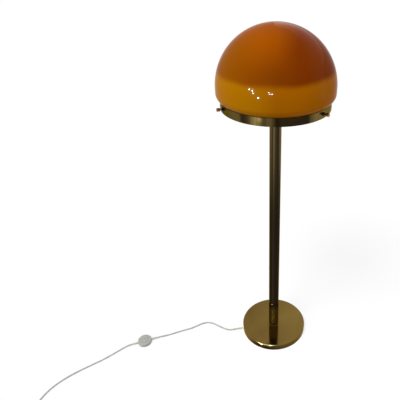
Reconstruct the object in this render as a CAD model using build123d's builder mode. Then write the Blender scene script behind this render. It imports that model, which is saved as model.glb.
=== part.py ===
from build123d import *
import os
from math import atan2, cos, degrees, pi, radians, sin, sqrt, tan

# Mushroom floor lamp, free-standing: round brass foot, brass column, and a two-tone glass
# shade held in a brass ring by three thumbscrews. Millimetres, +Z up. The origin is the
# centre of the foot on the floor, and -Y is the side that faces the viewer.

os.makedirs("parts", exist_ok=True)

UP = Vector(0, 0, 1)
ON_BASE = (Align.CENTER, Align.CENTER, Align.MIN)

# ---- Driving sizes ---------------------------------------------------------------------

# Clearances
running_gap = 0.05      # turned or threaded piece in its hole
plug_gap = 0.1          # pressed or loose-fitting rigid pieces
soft_gap = 0.3          # soft or fragile piece beside a rigid one
cast_gap = 0.6          # raw casting inside the spun cover

# Foot
base_r = 130            # outside of the brass cover
base_h = 25             # floor to the top of the cover
base_edge_r = 5         # rolled top edge
cover_wall = 1.5
cover_lift = 1          # the cover's lower rim stays off the floor
felt_t = 2
felt_inset = 2          # the felt ends inside the cover's rim
recess_r = 90           # hollow under the ballast
recess_depth = 14
channel_w = 11.5        # cord channel through the ballast's rim
clamp_margin = 3        # cord clamp to the recess's wall
clamp_l = 20
clamp_w = 26
clamp_wall = 1.6        # nylon under the cord
clamp_corner_r = 2
clamp_screw_pitch = 17
clamp_screw_r = 2
clamp_head_r = 3.5
clamp_head_t = 2.4
clamp_screw_bite = 5    # depth of the clamp screws in the ballast
lead_past_clamp = 5     # sheath left beyond the clamp

# Tie rod and its nuts
rod_r = 5
rod_bore_r = 3.5
nut_flat = 14           # across flats
nut_t = 4
washer_t = 2
washer_r = 15
thread_stub = 1         # rod standing out of the lower nut

# Column
stem_r = 20
stem_wall = 1.2
stem_l = 961
rosette_r = 28.5
rosette_t = 1.5
plug_l = 10
plug_flange_t = 2

# Gallery
ring_r = 177.5          # outside of the brass band
ring_wall = 1.5
ring_h = 26.5
ring_edge_r = 0.4
spider_t = 3
hub_r = 32
arm_w = 18
arm_root_w = 26
pad_t = 1.5
pad_l = 9
pad_margin = 1          # arm left bare beside a pad
gallery_washer_r = 11
screw_angles = (202.5, 322.5, 82.5)     # thumbscrews round the ring, from +X

# Thumbscrews
screw_r = 2.5
screw_head_r = 5.5
screw_head_l = 10.5
screw_head_edge = 0.8
head_stand_off = 8      # head clear of the ring's outside
tip_r = 2.2
tip_l = 2
flute_count = 18
flute_r = 0.5
bush_flange_r = 6.2
bush_flange_t = 3
bush_body_r = 4

# Glass shade
neck_gap = 2.5          # ring's inside to the glass neck
glass_bulge = 17        # widest radius beyond the neck's
glass_wall = 3
glass_over_ring = 1.9   # underside of the bulge over the ring's outer top edge
glass_band_h = 13.5     # upright wall between the bulge and the dome
lower_bulge_r = 27      # glass curving in below the upright wall
cove_r = 4              # turn from the bulge to the straight neck

# Lampholder and bulb (E27)
holder_r = 19
holder_wall = 2
holder_boss_r = 9
holder_boss_h = 7
cup_h = 22              # boss and cup
spigot_h = 6
ledge_z = 18
core_r = 15
core_t = 12
shell_h = 34
shell_edge_r = 2
sleeve_r = 14
sleeve_wall = 0.6
sleeve_h = 22
contact_h = 3
contact_t = 0.6
contact_w = 5
contact_foot = 5        # half the length of the contact's foot
terminal_offset = 8
terminal_r = 1.5
terminal_head_r = 2.5
terminal_head_t = 1.6
terminal_bite = 7
bulb_cap_r = 13.1
bulb_cap_h = 27
bulb_contact_r = 4.5
bulb_contact_t = 1.2
bulb_insulator_r = 9
bulb_insulator_h = 4
bulb_thread_foot = 7    # foot of the cap's straight part
bulb_flare = 0.5        # spread of the cap's rim
bulb_flare_h = 3
bulb_r = 30
bulb_h = 103
bulb_neck_r = 12.3
bulb_neck_foot = 10
bulb_neck_top = 30
bulb_shoulder_angle = 40        # foot of the envelope's round top, below its middle
bulb_wall = 1

# Cord
cord_d = 5.6
core_d = 2.2            # one insulated core
core_spread = 1.3       # core's centre from the middle
core_straight = 16      # from the sheath's end to the cores' first bend
core_low_from_axis = 24 # where the cores reach their lowest level
core_sag_r = 30
core_rod_gap = 0.5      # under the tie rod's mouth
core_top_lift = 1       # over the tie rod's top
core_tail = 5           # straight end at a terminal
core_spread_r = 6
core_tail_r = 4
exit_angle = 190        # where the cord leaves the foot, from +X
exit_z = 8
boot_l = 22             # free length of each tapered strain relief
boot_root_r = 4.6
boot_end_r = 3.4
boot_neck_r = 3.9
boot_flange_r = 5
boot_flange_t = 2
exit_run = 13           # straight cord at the foot's mouth
switch_run = 15         # and at the switch's two mouths
arc_share = 0.45        # part of a run that an arc may take

# Foot switch
switch_x = -531
switch_y = -90
switch_angle = 200      # direction from the lamp's side to the plug's side
switch_r = 27
switch_wall = 2
switch_split_z = 6.5    # parting plane, also the cord's height
switch_h = 14.5
switch_edge_r = 2.5
switch_foot_edge_r = 0.8
switch_boot_neck_r = 3.7
switch_boot_flange_r = 4.4
button_r = 15
button_skirt_r = 17.5
button_skirt_t = 1.2
button_wall = 1.6
button_proud = 2        # edge of the button above the shell
button_crown = 1        # cone of its top
button_bevel = 1
button_travel = 3
pip_r = 2.2             # small round recess in the button
pip_depth = 0.5
pip_x = 3.3
pip_y = 7.1
boss_r = 3.2
boss_offset = 21.5
switch_screw_r = 1.3
switch_head_r = 2.5
switch_head_t = 1.9
switch_head_sink = 0.5
switch_tip_gap = 0.5    # left under a screw's tip
block_l = 20
block_w = 14
block_corner_r = 1
spring_r = 4
spring_wire_d = 0.8
spring_turns = 3
post_r = 2.6

# Put-away coil
coil_gap = 0.6          # between neighbouring turns
coil_inner_r = 22.4     # bend radius of the innermost turn
coil_run_turns = 3.25   # turns inward, and again outward
coil_climb_turns = 0.5  # between them, up to the second layer
coil_run = 22           # straight cord before the coil
coil_x = -856           # where the cord joins the coil's outer turn
coil_y = -418
tie_w = 6
tie_t = 0.8
tie_side_gap = 0.5
tie_corner_r = 2
tail_run = 9            # straight cord at each end of the tail
tail_l = 34
tail_side = 3           # the plug lies this far beside the tail's start

# Plug (flat two-pin)
plug_body_l = 36
plug_body_w = 35.3
plug_body_t = 13.7
plug_back_w = 14
plug_taper_l = 15
plug_corner_r = 4
plug_edge_r = 2
pin_r = 2
pin_l = 19
pin_tip_r = 1.6
pin_pitch = 18.6
pin_root = 4            # pin held inside the body

# ---- Levels and radii that follow from them ---------------------------------------------

recess_top = felt_t + recess_depth
clamp_from_axis = recess_r - clamp_margin - clamp_l / 2
rod_bottom = recess_top - washer_t - nut_t - thread_stub
cover_under = base_h - cover_wall
stem_top = base_h + stem_l
gallery_z = stem_top + plug_flange_t
ring_inner_r = ring_r - ring_wall
ring_mid_z = gallery_z + ring_h / 2
seat_z = gallery_z + spider_t + pad_t
neck_r = ring_inner_r - neck_gap
glass_r = neck_r + glass_bulge  # also the dome's radius
bulge_reach = ring_r - glass_r + lower_bulge_r
bulge_z = gallery_z + ring_h + glass_over_ring + sqrt(lower_bulge_r**2 - bulge_reach**2)
dome_z = bulge_z + glass_band_h
nut_z = gallery_z + spider_t + washer_t
holder_z = nut_z + nut_t
rod_top = holder_z + holder_boss_h
core_z = holder_z + ledge_z
core_top = core_z + core_t
bulb_z = core_top + contact_h
rod_hole_r = rod_r + running_gap
loose_rod_hole_r = rod_r + soft_gap
lead_hole_r = cord_d / 2 + running_gap


def heading(angle):
    """Level unit vector at an angle from +X."""
    return Vector(cos(radians(angle)), sin(radians(angle)), 0)


def side_plane(origin, direction):
    """Upright plane: local x runs along direction, local y runs up."""
    return Plane(origin=origin, x_dir=direction, z_dir=direction.cross(UP))


def across_plane(origin, direction):
    """Plane square to a direction, facing along it."""
    return Plane(origin=origin, z_dir=direction)


def turned(z_low, z_high, outer_r, bore_r=0):
    """Add a turned step to the part in work, with its bore."""
    with Locations((0, 0, z_low)):
        Cylinder(outer_r, z_high - z_low, align=ON_BASE)
        if bore_r:
            Cylinder(bore_r, z_high - z_low, align=ON_BASE, mode=Mode.SUBTRACT)


def finish(piece, name):
    """Label a finished piece and write it."""
    piece.part.label = name
    export_step(piece.part, f"parts/{name}.step")


exit_dir = heading(exit_angle)
exit_plane = side_plane((0, 0, exit_z), exit_dir)
exit_axis = Axis((0, 0, exit_z), exit_dir)

# ---- Foot ----------------------------------------------------------------------------------

# Spun brass cover, open below
with BuildPart() as base_cover:
    turned(cover_lift, base_h, base_r)
    fillet(base_cover.edges().group_by(Axis.Z)[-1], base_edge_r)
    offset(amount=-cover_wall, openings=base_cover.faces().sort_by(Axis.Z)[0])
    with BuildSketch(Plane.XY.offset(cover_under)):
        Circle(loose_rod_hole_r)
    extrude(amount=cover_wall, mode=Mode.SUBTRACT)
    with BuildSketch(across_plane(exit_dir * base_r + UP * exit_z, exit_dir)):
        Circle(boot_neck_r + plug_gap)
    extrude(amount=-2 * cover_wall, mode=Mode.SUBTRACT)
finish(base_cover, "base_cover")

# Cast-iron ballast: it bears on the cover's underside and its rim stands on the felt
weight_r = base_r - cover_wall - cast_gap
with BuildPart() as base_weight:
    turned(felt_t, cover_under, weight_r)
    fillet(base_weight.edges().group_by(Axis.Z)[-1], base_edge_r - cover_wall + cast_gap)
    with BuildSketch(Plane.XY.offset(felt_t)):
        Circle(recess_r)
    extrude(amount=recess_depth, mode=Mode.SUBTRACT)
    with BuildSketch(Plane.XY.offset(recess_top)):
        Circle(loose_rod_hole_r)
    extrude(amount=cover_under - recess_top, mode=Mode.SUBTRACT)
    channel_l = base_r - recess_r + channel_w
    with BuildSketch(Plane(origin=exit_dir * base_r + UP * felt_t, x_dir=exit_dir)):
        Rectangle(channel_l, channel_w, align=(Align.MAX, Align.CENTER))
    extrude(amount=exit_z + boot_flange_r + plug_gap - felt_t, mode=Mode.SUBTRACT)
    clamp_plane = Plane(origin=exit_dir * clamp_from_axis + UP * recess_top, x_dir=exit_dir)
    with BuildSketch(clamp_plane):
        with GridLocations(0, clamp_screw_pitch, 1, 2):
            Circle(clamp_screw_r + running_gap)
    extrude(amount=clamp_screw_bite, mode=Mode.SUBTRACT)
finish(base_weight, "base_weight")

with BuildPart() as base_felt:
    turned(0, felt_t, base_r - felt_inset)
finish(base_felt, "base_felt")

with BuildPart() as base_washer:
    turned(recess_top - washer_t, recess_top, washer_r, rod_hole_r)
finish(base_washer, "base_washer")

with BuildPart() as base_nut:
    with BuildSketch(Plane.XY.offset(recess_top - washer_t - nut_t)):
        RegularPolygon(nut_flat / 2, 6, major_radius=False)
        Circle(rod_hole_r, mode=Mode.SUBTRACT)
    extrude(amount=nut_t)
finish(base_nut, "base_nut")

# Nylon block that holds the cord's sheath against a pull, and its two screws from below
clamp_foot = exit_z - cord_d / 2 - clamp_wall
with BuildPart() as cord_clamp:
    with BuildSketch(clamp_plane.offset(clamp_foot - recess_top)):
        RectangleRounded(clamp_l, clamp_w, clamp_corner_r)
    extrude(amount=recess_top - clamp_foot)
    with BuildSketch(across_plane(exit_dir * clamp_from_axis + UP * exit_z, exit_dir)):
        Circle(lead_hole_r)
    extrude(amount=clamp_l / 2, both=True, mode=Mode.SUBTRACT)
    with Locations(clamp_plane.offset(clamp_foot - recess_top)):
        with GridLocations(0, clamp_screw_pitch, 1, 2):
            Cylinder(clamp_screw_r + running_gap, recess_top - clamp_foot, align=ON_BASE,
                     mode=Mode.SUBTRACT)
            Cylinder(clamp_head_r + plug_gap, clamp_head_t, align=ON_BASE, mode=Mode.SUBTRACT)
finish(cord_clamp, "cord_clamp")

with BuildPart() as clamp_screws:
    with Locations(clamp_plane.offset(clamp_foot - recess_top)):
        with GridLocations(0, clamp_screw_pitch, 1, 2):
            Cylinder(clamp_head_r, clamp_head_t, align=ON_BASE)
            Cylinder(clamp_screw_r, recess_top - clamp_foot + clamp_screw_bite, align=ON_BASE)
finish(clamp_screws, "clamp_screws")

# Rubber boot at the cover's rim: flange inside, neck through the wall, taper outside
boot_start = sqrt((base_r - cover_wall) ** 2 - boot_flange_r**2) - plug_gap
with BuildPart() as cord_grommet:
    with BuildSketch(exit_plane):
        with BuildLine():
            Polyline(
                (boot_start - boot_flange_t, lead_hole_r),
                (boot_start - boot_flange_t, boot_flange_r),
                (boot_start, boot_flange_r),
                (boot_start, boot_neck_r),
                (base_r, boot_neck_r),
                (base_r, boot_root_r),
                (base_r + boot_l, boot_end_r),
                (base_r + boot_l, lead_hole_r),
                close=True,
            )
        make_face()
    revolve(axis=exit_axis)
finish(cord_grommet, "cord_grommet")

# The cord's sheathed end, from the boot's mouth through the clamp
lead_end = clamp_from_axis - clamp_l / 2 - lead_past_clamp
with BuildPart() as inner_lead:
    with BuildSketch(across_plane(exit_dir * lead_end + UP * exit_z, exit_dir)):
        Circle(cord_d / 2)
    extrude(amount=base_r + boot_l - lead_end)
finish(inner_lead, "inner_lead")

# Its two cores, under the tie rod, up its bore and out to the lampholder's terminals
wire_floor = felt_t + core_d / 2 + soft_gap
wire_bend_r = rod_bottom - wire_floor - core_rod_gap
wire_side = exit_dir.cross(UP)
with BuildPart() as lamp_wires:
    for side in (-1, 1):
        lane = wire_side * (side * core_spread)
        terminal_lane = wire_side * (side * terminal_offset)
        wire_points = [
            exit_dir * lead_end + UP * exit_z + lane,
            exit_dir * (lead_end - core_straight) + UP * exit_z + lane,
            exit_dir * core_low_from_axis + UP * wire_floor + lane,
            UP * wire_floor + lane,
            UP * (rod_top + core_top_lift) + lane,
            UP * (core_z - core_tail) + terminal_lane,
            UP * core_z + terminal_lane,
        ]
        wire_radii = [core_sag_r, core_sag_r, wire_bend_r, core_spread_r, core_tail_r]
        with BuildLine() as wire_line:
            FilletPolyline(*wire_points, radius=wire_radii)
        with BuildSketch(across_plane(wire_points[0], exit_dir * -1)):
            Circle(core_d / 2)
        sweep(path=wire_line.wire())
finish(lamp_wires, "lamp_wires")

# ---- Column --------------------------------------------------------------------------------

with BuildPart() as stem_tube:
    turned(base_h, stem_top, stem_r, stem_r - stem_wall)
finish(stem_tube, "stem_tube")

with BuildPart() as stem_rosette:
    turned(base_h, base_h + rosette_t, rosette_r, stem_r + plug_gap)
    fillet(stem_rosette.edges().group_by(Axis.Z)[-1].sort_by(SortBy.LENGTH)[-1], rosette_t / 2)
finish(stem_rosette, "stem_rosette")

plug_r = stem_r - stem_wall - running_gap
with BuildPart() as stem_foot_plug:
    turned(base_h, base_h + plug_l, plug_r, rod_hole_r)
finish(stem_foot_plug, "stem_foot_plug")

with BuildPart() as stem_top_plug:
    turned(stem_top - plug_l, stem_top, plug_r)
    turned(stem_top, gallery_z, stem_r)
    with BuildSketch(Plane.XY.offset(stem_top - plug_l)):
        Circle(rod_hole_r)
    extrude(amount=gallery_z - stem_top + plug_l, mode=Mode.SUBTRACT)
finish(stem_top_plug, "stem_top_plug")

with BuildPart() as tie_rod:
    turned(rod_bottom, rod_top, rod_r, rod_bore_r)
finish(tie_rod, "tie_rod")

# ---- Gallery -------------------------------------------------------------------------------

# Flat carrier: a hub with three arms that taper out to the ring, brazed to its inside
with BuildPart() as gallery_spider:
    with BuildSketch(Plane.XY.offset(gallery_z)):
        Circle(hub_r)
        for angle in screw_angles:
            with Locations(Location((0, 0, 0), angle - 90)):
                Trapezoid(arm_root_w, ring_r, degrees(atan2(2 * ring_r, arm_root_w - arm_w)),
                          align=(Align.CENTER, Align.MIN))
        Circle(ring_inner_r, mode=Mode.INTERSECT)
        Circle(loose_rod_hole_r, mode=Mode.SUBTRACT)
    extrude(amount=spider_t)
finish(gallery_spider, "gallery_spider")

with BuildPart() as gallery_ring:
    turned(gallery_z, gallery_z + ring_h, ring_r, ring_inner_r)
    fillet(gallery_ring.edges().filter_by(GeomType.CIRCLE), ring_edge_r)
    for angle in screw_angles:
        with BuildSketch(across_plane(heading(angle) * ring_r + UP * ring_mid_z, heading(angle))):
            Circle(bush_body_r + running_gap)
        extrude(amount=-2 * ring_wall, mode=Mode.SUBTRACT)
finish(gallery_ring, "gallery_ring")

with BuildPart() as screw_bushes:
    for angle in screw_angles:
        with BuildSketch(across_plane(heading(angle) * ring_r + UP * ring_mid_z, heading(angle))):
            Circle(bush_flange_r)
        extrude(amount=bush_flange_t)
        with BuildSketch(across_plane(heading(angle) * ring_r + UP * ring_mid_z, heading(angle))):
            Circle(bush_body_r)
        extrude(amount=-ring_wall)
        with BuildSketch(across_plane(heading(angle) * ring_r + UP * ring_mid_z, heading(angle))):
            Circle(screw_r + running_gap)
        extrude(amount=bush_flange_t, both=True, mode=Mode.SUBTRACT)
finish(screw_bushes, "screw_bushes")

with BuildPart() as arm_pads:
    for angle in screw_angles:
        pad_middle = heading(angle) * (neck_r - glass_wall / 2)
        with BuildSketch(Plane(origin=pad_middle + UP * (seat_z - pad_t), x_dir=heading(angle))):
            Rectangle(pad_l / 2, arm_w - 2 * pad_margin)
        extrude(amount=pad_t)
finish(arm_pads, "arm_pads")

with BuildPart() as gallery_washer:
    turned(gallery_z + spider_t, nut_z, gallery_washer_r, rod_hole_r)
finish(gallery_washer, "gallery_washer")

with BuildPart() as gallery_nut:
    with BuildSketch(Plane.XY.offset(nut_z)):
        RegularPolygon(nut_flat / 2, 6, major_radius=False)
        Circle(rod_hole_r, mode=Mode.SUBTRACT)
    extrude(amount=nut_t)
finish(gallery_nut, "gallery_nut")

# Thumbscrews: fluted head, plain shank in the bush, nylon tip just clear of the glass neck
tip_face = neck_r + soft_gap
head_face = ring_r + head_stand_off
for number, angle in enumerate(screw_angles, start=1):
    out = heading(angle)
    with BuildPart() as thumbscrew:
        with BuildSketch(across_plane(out * (tip_face + tip_l) + UP * ring_mid_z, out)):
            Circle(screw_r)
        extrude(amount=head_face - tip_face - tip_l)
        with BuildSketch(across_plane(out * head_face + UP * ring_mid_z, out)):
            Circle(screw_head_r)
        extrude(amount=screw_head_l)
        rims = thumbscrew.edges().filter_by(GeomType.CIRCLE)
        rims = rims.filter_by(lambda rim: rim.radius > (screw_r + screw_head_r) / 2)
        chamfer(rims, screw_head_edge)
        with BuildSketch(across_plane(out * head_face + UP * ring_mid_z, out)):
            with PolarLocations(screw_head_r + flute_r / 2, flute_count):
                Circle(flute_r)
        extrude(amount=screw_head_l, mode=Mode.SUBTRACT)
    finish(thumbscrew, f"thumbscrew_{number}")
    with BuildPart() as thumbscrew_tip:
        with BuildSketch(across_plane(out * tip_face + UP * ring_mid_z, out)):
            Circle(tip_r)
        extrude(amount=tip_l)
    finish(thumbscrew_tip, f"thumbscrew_tip_{number}")

# ---- Lampholder and bulb ---------------------------------------------------------------------

spigot_r = holder_r - holder_wall
cup_inner_r = core_r + 2 * plug_gap
with BuildPart() as holder_cap:
    with BuildSketch(Plane.XZ):
        with BuildLine():
            Polyline(
                (rod_hole_r, holder_z),
                (holder_boss_r, holder_z),
                (holder_boss_r, holder_z + holder_boss_h),
                (holder_r, holder_z + cup_h - holder_boss_h),
                (holder_r, holder_z + cup_h),
                (spigot_r, holder_z + cup_h),
                (spigot_r, holder_z + cup_h + spigot_h),
                (cup_inner_r, holder_z + cup_h + spigot_h),
                (cup_inner_r, core_z),
                (cup_inner_r - holder_wall, core_z),
                (cup_inner_r - holder_wall, core_z - holder_wall),
                (holder_boss_r - holder_wall, holder_z + holder_boss_h + holder_wall),
                (rod_hole_r, holder_z + holder_boss_h + holder_wall),
                close=True,
            )
        make_face()
    revolve(axis=Axis.Z)
finish(holder_cap, "holder_cap")

screw_seats = ((-terminal_offset, 0), (terminal_offset, 0))
seat_plane = Plane(origin=(0, 0, core_z), x_dir=exit_dir)
with BuildPart() as holder_core:
    turned(core_z, core_top, core_r)
    with BuildSketch(seat_plane):
        with Locations(*screw_seats):
            Circle(terminal_r + running_gap)
    extrude(amount=terminal_bite, mode=Mode.SUBTRACT)
finish(holder_core, "holder_core")

with BuildPart() as terminal_screws:
    with BuildSketch(seat_plane):
        with Locations(*screw_seats):
            Circle(terminal_r)
    extrude(amount=terminal_bite)
    with BuildSketch(seat_plane):
        with Locations(*screw_seats):
            Circle(terminal_head_r)
    extrude(amount=-terminal_head_t)
finish(terminal_screws, "terminal_screws")

with BuildPart() as holder_sleeve:
    turned(core_top, core_top + sleeve_h, sleeve_r)
    with BuildSketch(Plane.XY.offset(core_top)):
        Circle(sleeve_r / 2)
    extrude(amount=sleeve_wall, mode=Mode.SUBTRACT)
    with BuildSketch(Plane.XY.offset(core_top + sleeve_wall)):
        Circle(sleeve_r - sleeve_wall)
    extrude(amount=sleeve_h - sleeve_wall, mode=Mode.SUBTRACT)
finish(holder_sleeve, "holder_sleeve")

# Spring tongue under the bulb's foot contact
with BuildPart() as holder_contact:
    with BuildSketch(side_plane((0, 0, core_top), exit_dir)):
        with BuildLine():
            Polyline(
                (-contact_foot, 0),
                (contact_foot, 0),
                (contact_foot, contact_t),
                (-contact_foot + 3 * contact_t, contact_t),
                (contact_t, contact_h - contact_t),
                (contact_foot, contact_h - contact_t),
                (contact_foot, contact_h),
                (0, contact_h),
                (-contact_foot, 2 * contact_t),
                close=True,
            )
        make_face()
    extrude(amount=contact_w / 2, both=True)
finish(holder_contact, "holder_contact")

with BuildPart() as holder_shell:
    with BuildSketch(Plane.XZ):
        with BuildLine():
            Polyline(
                (spigot_r + running_gap, holder_z + cup_h),
                (holder_r, holder_z + cup_h),
                (holder_r, holder_z + cup_h + shell_h),
                (sleeve_r + plug_gap, holder_z + cup_h + shell_h),
                (sleeve_r + plug_gap, core_top + plug_gap),
                (spigot_r + running_gap, core_top + plug_gap),
                close=True,
            )
        make_face()
    revolve(axis=Axis.Z)
    fillet(holder_shell.edges().group_by(Axis.Z)[-1].sort_by(SortBy.LENGTH)[-1], shell_edge_r)
finish(holder_shell, "holder_shell")

# Bulb: brass cap with its foot contact, and the thin envelope cemented into it
with BuildPart() as bulb_cap:
    with BuildSketch(side_plane((0, 0, bulb_z), Vector(1, 0, 0))):
        with BuildLine():
            Polyline(
                (0, 0),
                (bulb_contact_r, 0),
                (bulb_contact_r, bulb_contact_t),
                (bulb_insulator_r, bulb_insulator_h),
                (bulb_cap_r, bulb_thread_foot),
                (bulb_cap_r, bulb_cap_h - bulb_flare_h),
                (bulb_cap_r + bulb_flare, bulb_cap_h),
                (bulb_neck_r + running_gap, bulb_cap_h),
                (bulb_neck_r + running_gap, bulb_neck_foot),
                (0, bulb_neck_foot),
                close=True,
            )
        make_face()
    revolve(axis=Axis.Z)
finish(bulb_cap, "bulb_cap")

bulb_middle = bulb_z + bulb_h - bulb_r
bulb_foot = bulb_z + bulb_neck_foot
with BuildPart() as bulb_glass:
    with BuildSketch(Plane.XZ):
        for inset, mode in ((0, Mode.ADD), (bulb_wall, Mode.SUBTRACT)):
            with BuildLine():
                neck_foot = Line((0, bulb_foot), (bulb_neck_r - inset, bulb_foot))
                neck = Line(neck_foot @ 1, (bulb_neck_r - inset, bulb_z + bulb_neck_top))
                crown = CenterArc((0, bulb_middle), bulb_r - inset, -bulb_shoulder_angle,
                                  90 + bulb_shoulder_angle)
                Spline(neck @ 1, crown @ 0, tangents=(neck % 1, crown % 0))
                Line(crown @ 1, neck_foot @ 0)
            make_face(mode=mode)
    revolve(axis=Axis.Z)
finish(bulb_glass, "bulb_glass")

# ---- Glass shade -----------------------------------------------------------------------------

# The section is drawn twice, outside and inside; each arc is tangent to its neighbours
cove_dx = neck_r + cove_r - glass_r + lower_bulge_r
cove_span = cove_r + lower_bulge_r
cove_dz = sqrt(cove_span**2 - cove_dx**2)
cove_z = bulge_z - cove_dz
with BuildPart() as glass_shade:
    with BuildSketch(Plane.XZ):
        for inset, mode in ((0, Mode.ADD), (glass_wall, Mode.SUBTRACT)):
            bulge_r = lower_bulge_r - inset
            with BuildLine():
                rim = Line((0, seat_z), (neck_r - inset, seat_z))
                neck = Line(rim @ 1, (neck_r - inset, cove_z))
                meeting = (
                    glass_r - lower_bulge_r + bulge_r * cove_dx / cove_span,
                    bulge_z - bulge_r * cove_dz / cove_span,
                )
                cove = TangentArc(neck @ 1, meeting, tangent=(0, 1))
                bulge = TangentArc(cove @ 1, (glass_r - inset, bulge_z), tangent=cove % 1)
                wall = Line(bulge @ 1, (glass_r - inset, dome_z))
                dome = CenterArc((0, dome_z), glass_r - inset, 0, 90)
                Line(dome @ 1, rim @ 0)
            make_face(mode=mode)
    revolve(axis=Axis.Z)
finish(glass_shade, "glass_shade")

# ---- Cord ------------------------------------------------------------------------------------


def corner_radii(points):
    """For each corner the largest arc that its two runs allow, with a little straight left."""
    radii = []
    for before, corner, after in zip(points, points[1:], points[2:]):
        run_in = corner - before
        run_out = after - corner
        turn = radians(run_in.get_angle(run_out))
        radii.append(arc_share * min(run_in.length, run_out.length) / tan(turn / 2))
    return radii


def cord_tube(points, name):
    """Tube along straight runs joined by tangent arcs."""
    radii = corner_radii(points)
    with BuildPart() as tube:
        with BuildLine() as route:
            FilletPolyline(*points, radius=radii)
        with BuildSketch(across_plane(points[0], points[1] - points[0])):
            Circle(cord_d / 2)
        sweep(path=route.wire())
    length = route.wire().length
    expected = pi * (cord_d / 2) ** 2 * length
    print(f"{name}: length {length:.0f} mm, volume off by {tube.part.volume / expected - 1:.2%}")
    print("  radii", [round(radius) for radius in radii])
    finish(tube, name)


floor_z = cord_d / 2
switch_dir = heading(switch_angle)
switch_centre = Vector(switch_x, switch_y, 0)
entry = switch_centre + UP * switch_split_z
boot_reach = switch_r + boot_l

# From the foot to the switch; the points between the two mouths are read off the floor
mouth = exit_dir * (base_r + boot_l) + UP * exit_z
cord_tube(
    [
        mouth,
        mouth + exit_dir * exit_run,
        Vector(-181, -30.5, 3.2),
        Vector(-206, -24.5, floor_z),
        Vector(-234, -8, floor_z),
        Vector(-262, 7.5, floor_z),
        Vector(-284, 12.5, floor_z),
        Vector(-306, 6.5, floor_z),
        Vector(-330, -9, floor_z),
        Vector(-354, -22.5, floor_z),
        Vector(-383, -32.5, floor_z),
        Vector(-415, -45.5, floor_z),
        Vector(-444, -58.5, floor_z + 0.4),
        entry - switch_dir * (boot_reach + switch_run),
        entry - switch_dir * boot_reach,
    ],
    "cord_lamp_side",
)

# Piled coil: spirals in on the floor, climbs a layer, spirals out again, seen from above
# clockwise; a point on it goes by the number of turns from where the cord joins it
pitch = cord_d + coil_gap
coil_outer_r = coil_inner_r + pitch * coil_run_turns
coil_turns = 2 * coil_run_turns + coil_climb_turns
coil_z = tie_t + soft_gap + cord_d / 2
coil_centre = Vector(coil_x - coil_outer_r, coil_y, coil_z)


def coil_at(turns):
    """Point on the coil's centre line and the direction of travel there."""
    climb = min(max((turns - coil_run_turns) / coil_climb_turns, 0), 1)
    if turns <= coil_run_turns:
        radius = coil_outer_r - pitch * turns
        radius_rate = -pitch
    elif climb < 1:
        radius = coil_inner_r - pitch * coil_climb_turns * (climb - climb**2)
        radius_rate = -pitch * (1 - 2 * climb)
    else:
        radius = coil_inner_r + pitch * (turns - coil_run_turns - coil_climb_turns)
        radius_rate = pitch
    height = pitch * (1 - cos(pi * climb)) / 2
    height_rate = pitch * pi * sin(pi * climb) / (2 * coil_climb_turns)
    angle = 2 * pi * turns
    outward = Vector(cos(angle), -sin(angle), 0)
    along = Vector(-sin(angle), -cos(angle), 0)
    point = coil_centre + outward * radius + UP * height
    travel = outward * radius_rate + along * (2 * pi * radius) + UP * height_rate
    return point, travel.normalized()


def biarc_joint(start, start_dir, end, end_dir):
    """Where two arcs meet that join two points along their given directions."""
    chord = end - start
    both = start_dir + end_dir
    spread = 2 * (1 - start_dir.dot(end_dir))
    reach = -chord.dot(both) + sqrt(chord.dot(both) ** 2 + 2 * spread * chord.dot(chord))
    reach /= 2 * spread
    first = start + start_dir * reach
    last = end - end_dir * reach
    return (first + last) * 0.5, (last - first).normalized()


quarter_turns = [coil_at(step / 4) for step in range(round(4 * coil_turns) + 1)]
coil_start, coil_start_dir = quarter_turns[0]
coil_end, coil_end_dir = quarter_turns[-1]
with BuildPart() as cord_coil:
    with BuildLine() as coil_line:
        Line(coil_start - coil_start_dir * cord_d, coil_start)
        for (start, start_dir), (end, end_dir) in zip(quarter_turns, quarter_turns[1:]):
            joint, joint_dir = biarc_joint(start, start_dir, end, end_dir)
            TangentArc(start, joint, tangent=start_dir)
            TangentArc(joint, end, tangent=joint_dir)
        Line(coil_end, coil_end + coil_end_dir * cord_d)
    coil_mouth = coil_start - coil_start_dir * cord_d
    with BuildSketch(across_plane(coil_mouth, coil_start_dir)):
        Circle(cord_d / 2)
    sweep(path=coil_line.wire())
coil_length = coil_line.wire().length
coil_expected = pi * (cord_d / 2) ** 2 * coil_length
coil_excess = cord_coil.part.volume / coil_expected - 1
print(f"cord_coil: length {coil_length:.0f} mm, volume off by {coil_excess:.2%}")
finish(cord_coil, "cord_coil")

turn_steps = 48
samples = [coil_at(step / turn_steps)[0] for step in range(round(turn_steps * coil_turns) + 1)]
least = min(
    (first - second).length
    for index, first in enumerate(samples)
    for second in samples[index + turn_steps // 2:]
)
print(f"cord_coil: least gap to itself {least - cord_d:.2f} mm")

# From the switch, out of the picture and into the coil
cord_tube(
    [
        entry + switch_dir * boot_reach,
        entry + switch_dir * (boot_reach + switch_run),
        Vector(-613, -125, 3.2),
        Vector(-640, -149.5, floor_z),
        Vector(-673, -177.5, floor_z),
        Vector(-710, -202.5, floor_z),
        Vector(-746, -227, floor_z),
        Vector(-776, -250, floor_z),
        Vector(-803, -275.5, floor_z),
        Vector(-825, -302, floor_z),
        Vector(-841, -332, floor_z),
        Vector(-850, -364, floor_z + 0.3),
        coil_mouth - coil_start_dir * coil_run,
        coil_mouth,
    ],
    "cord_plug_side",
)

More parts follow.
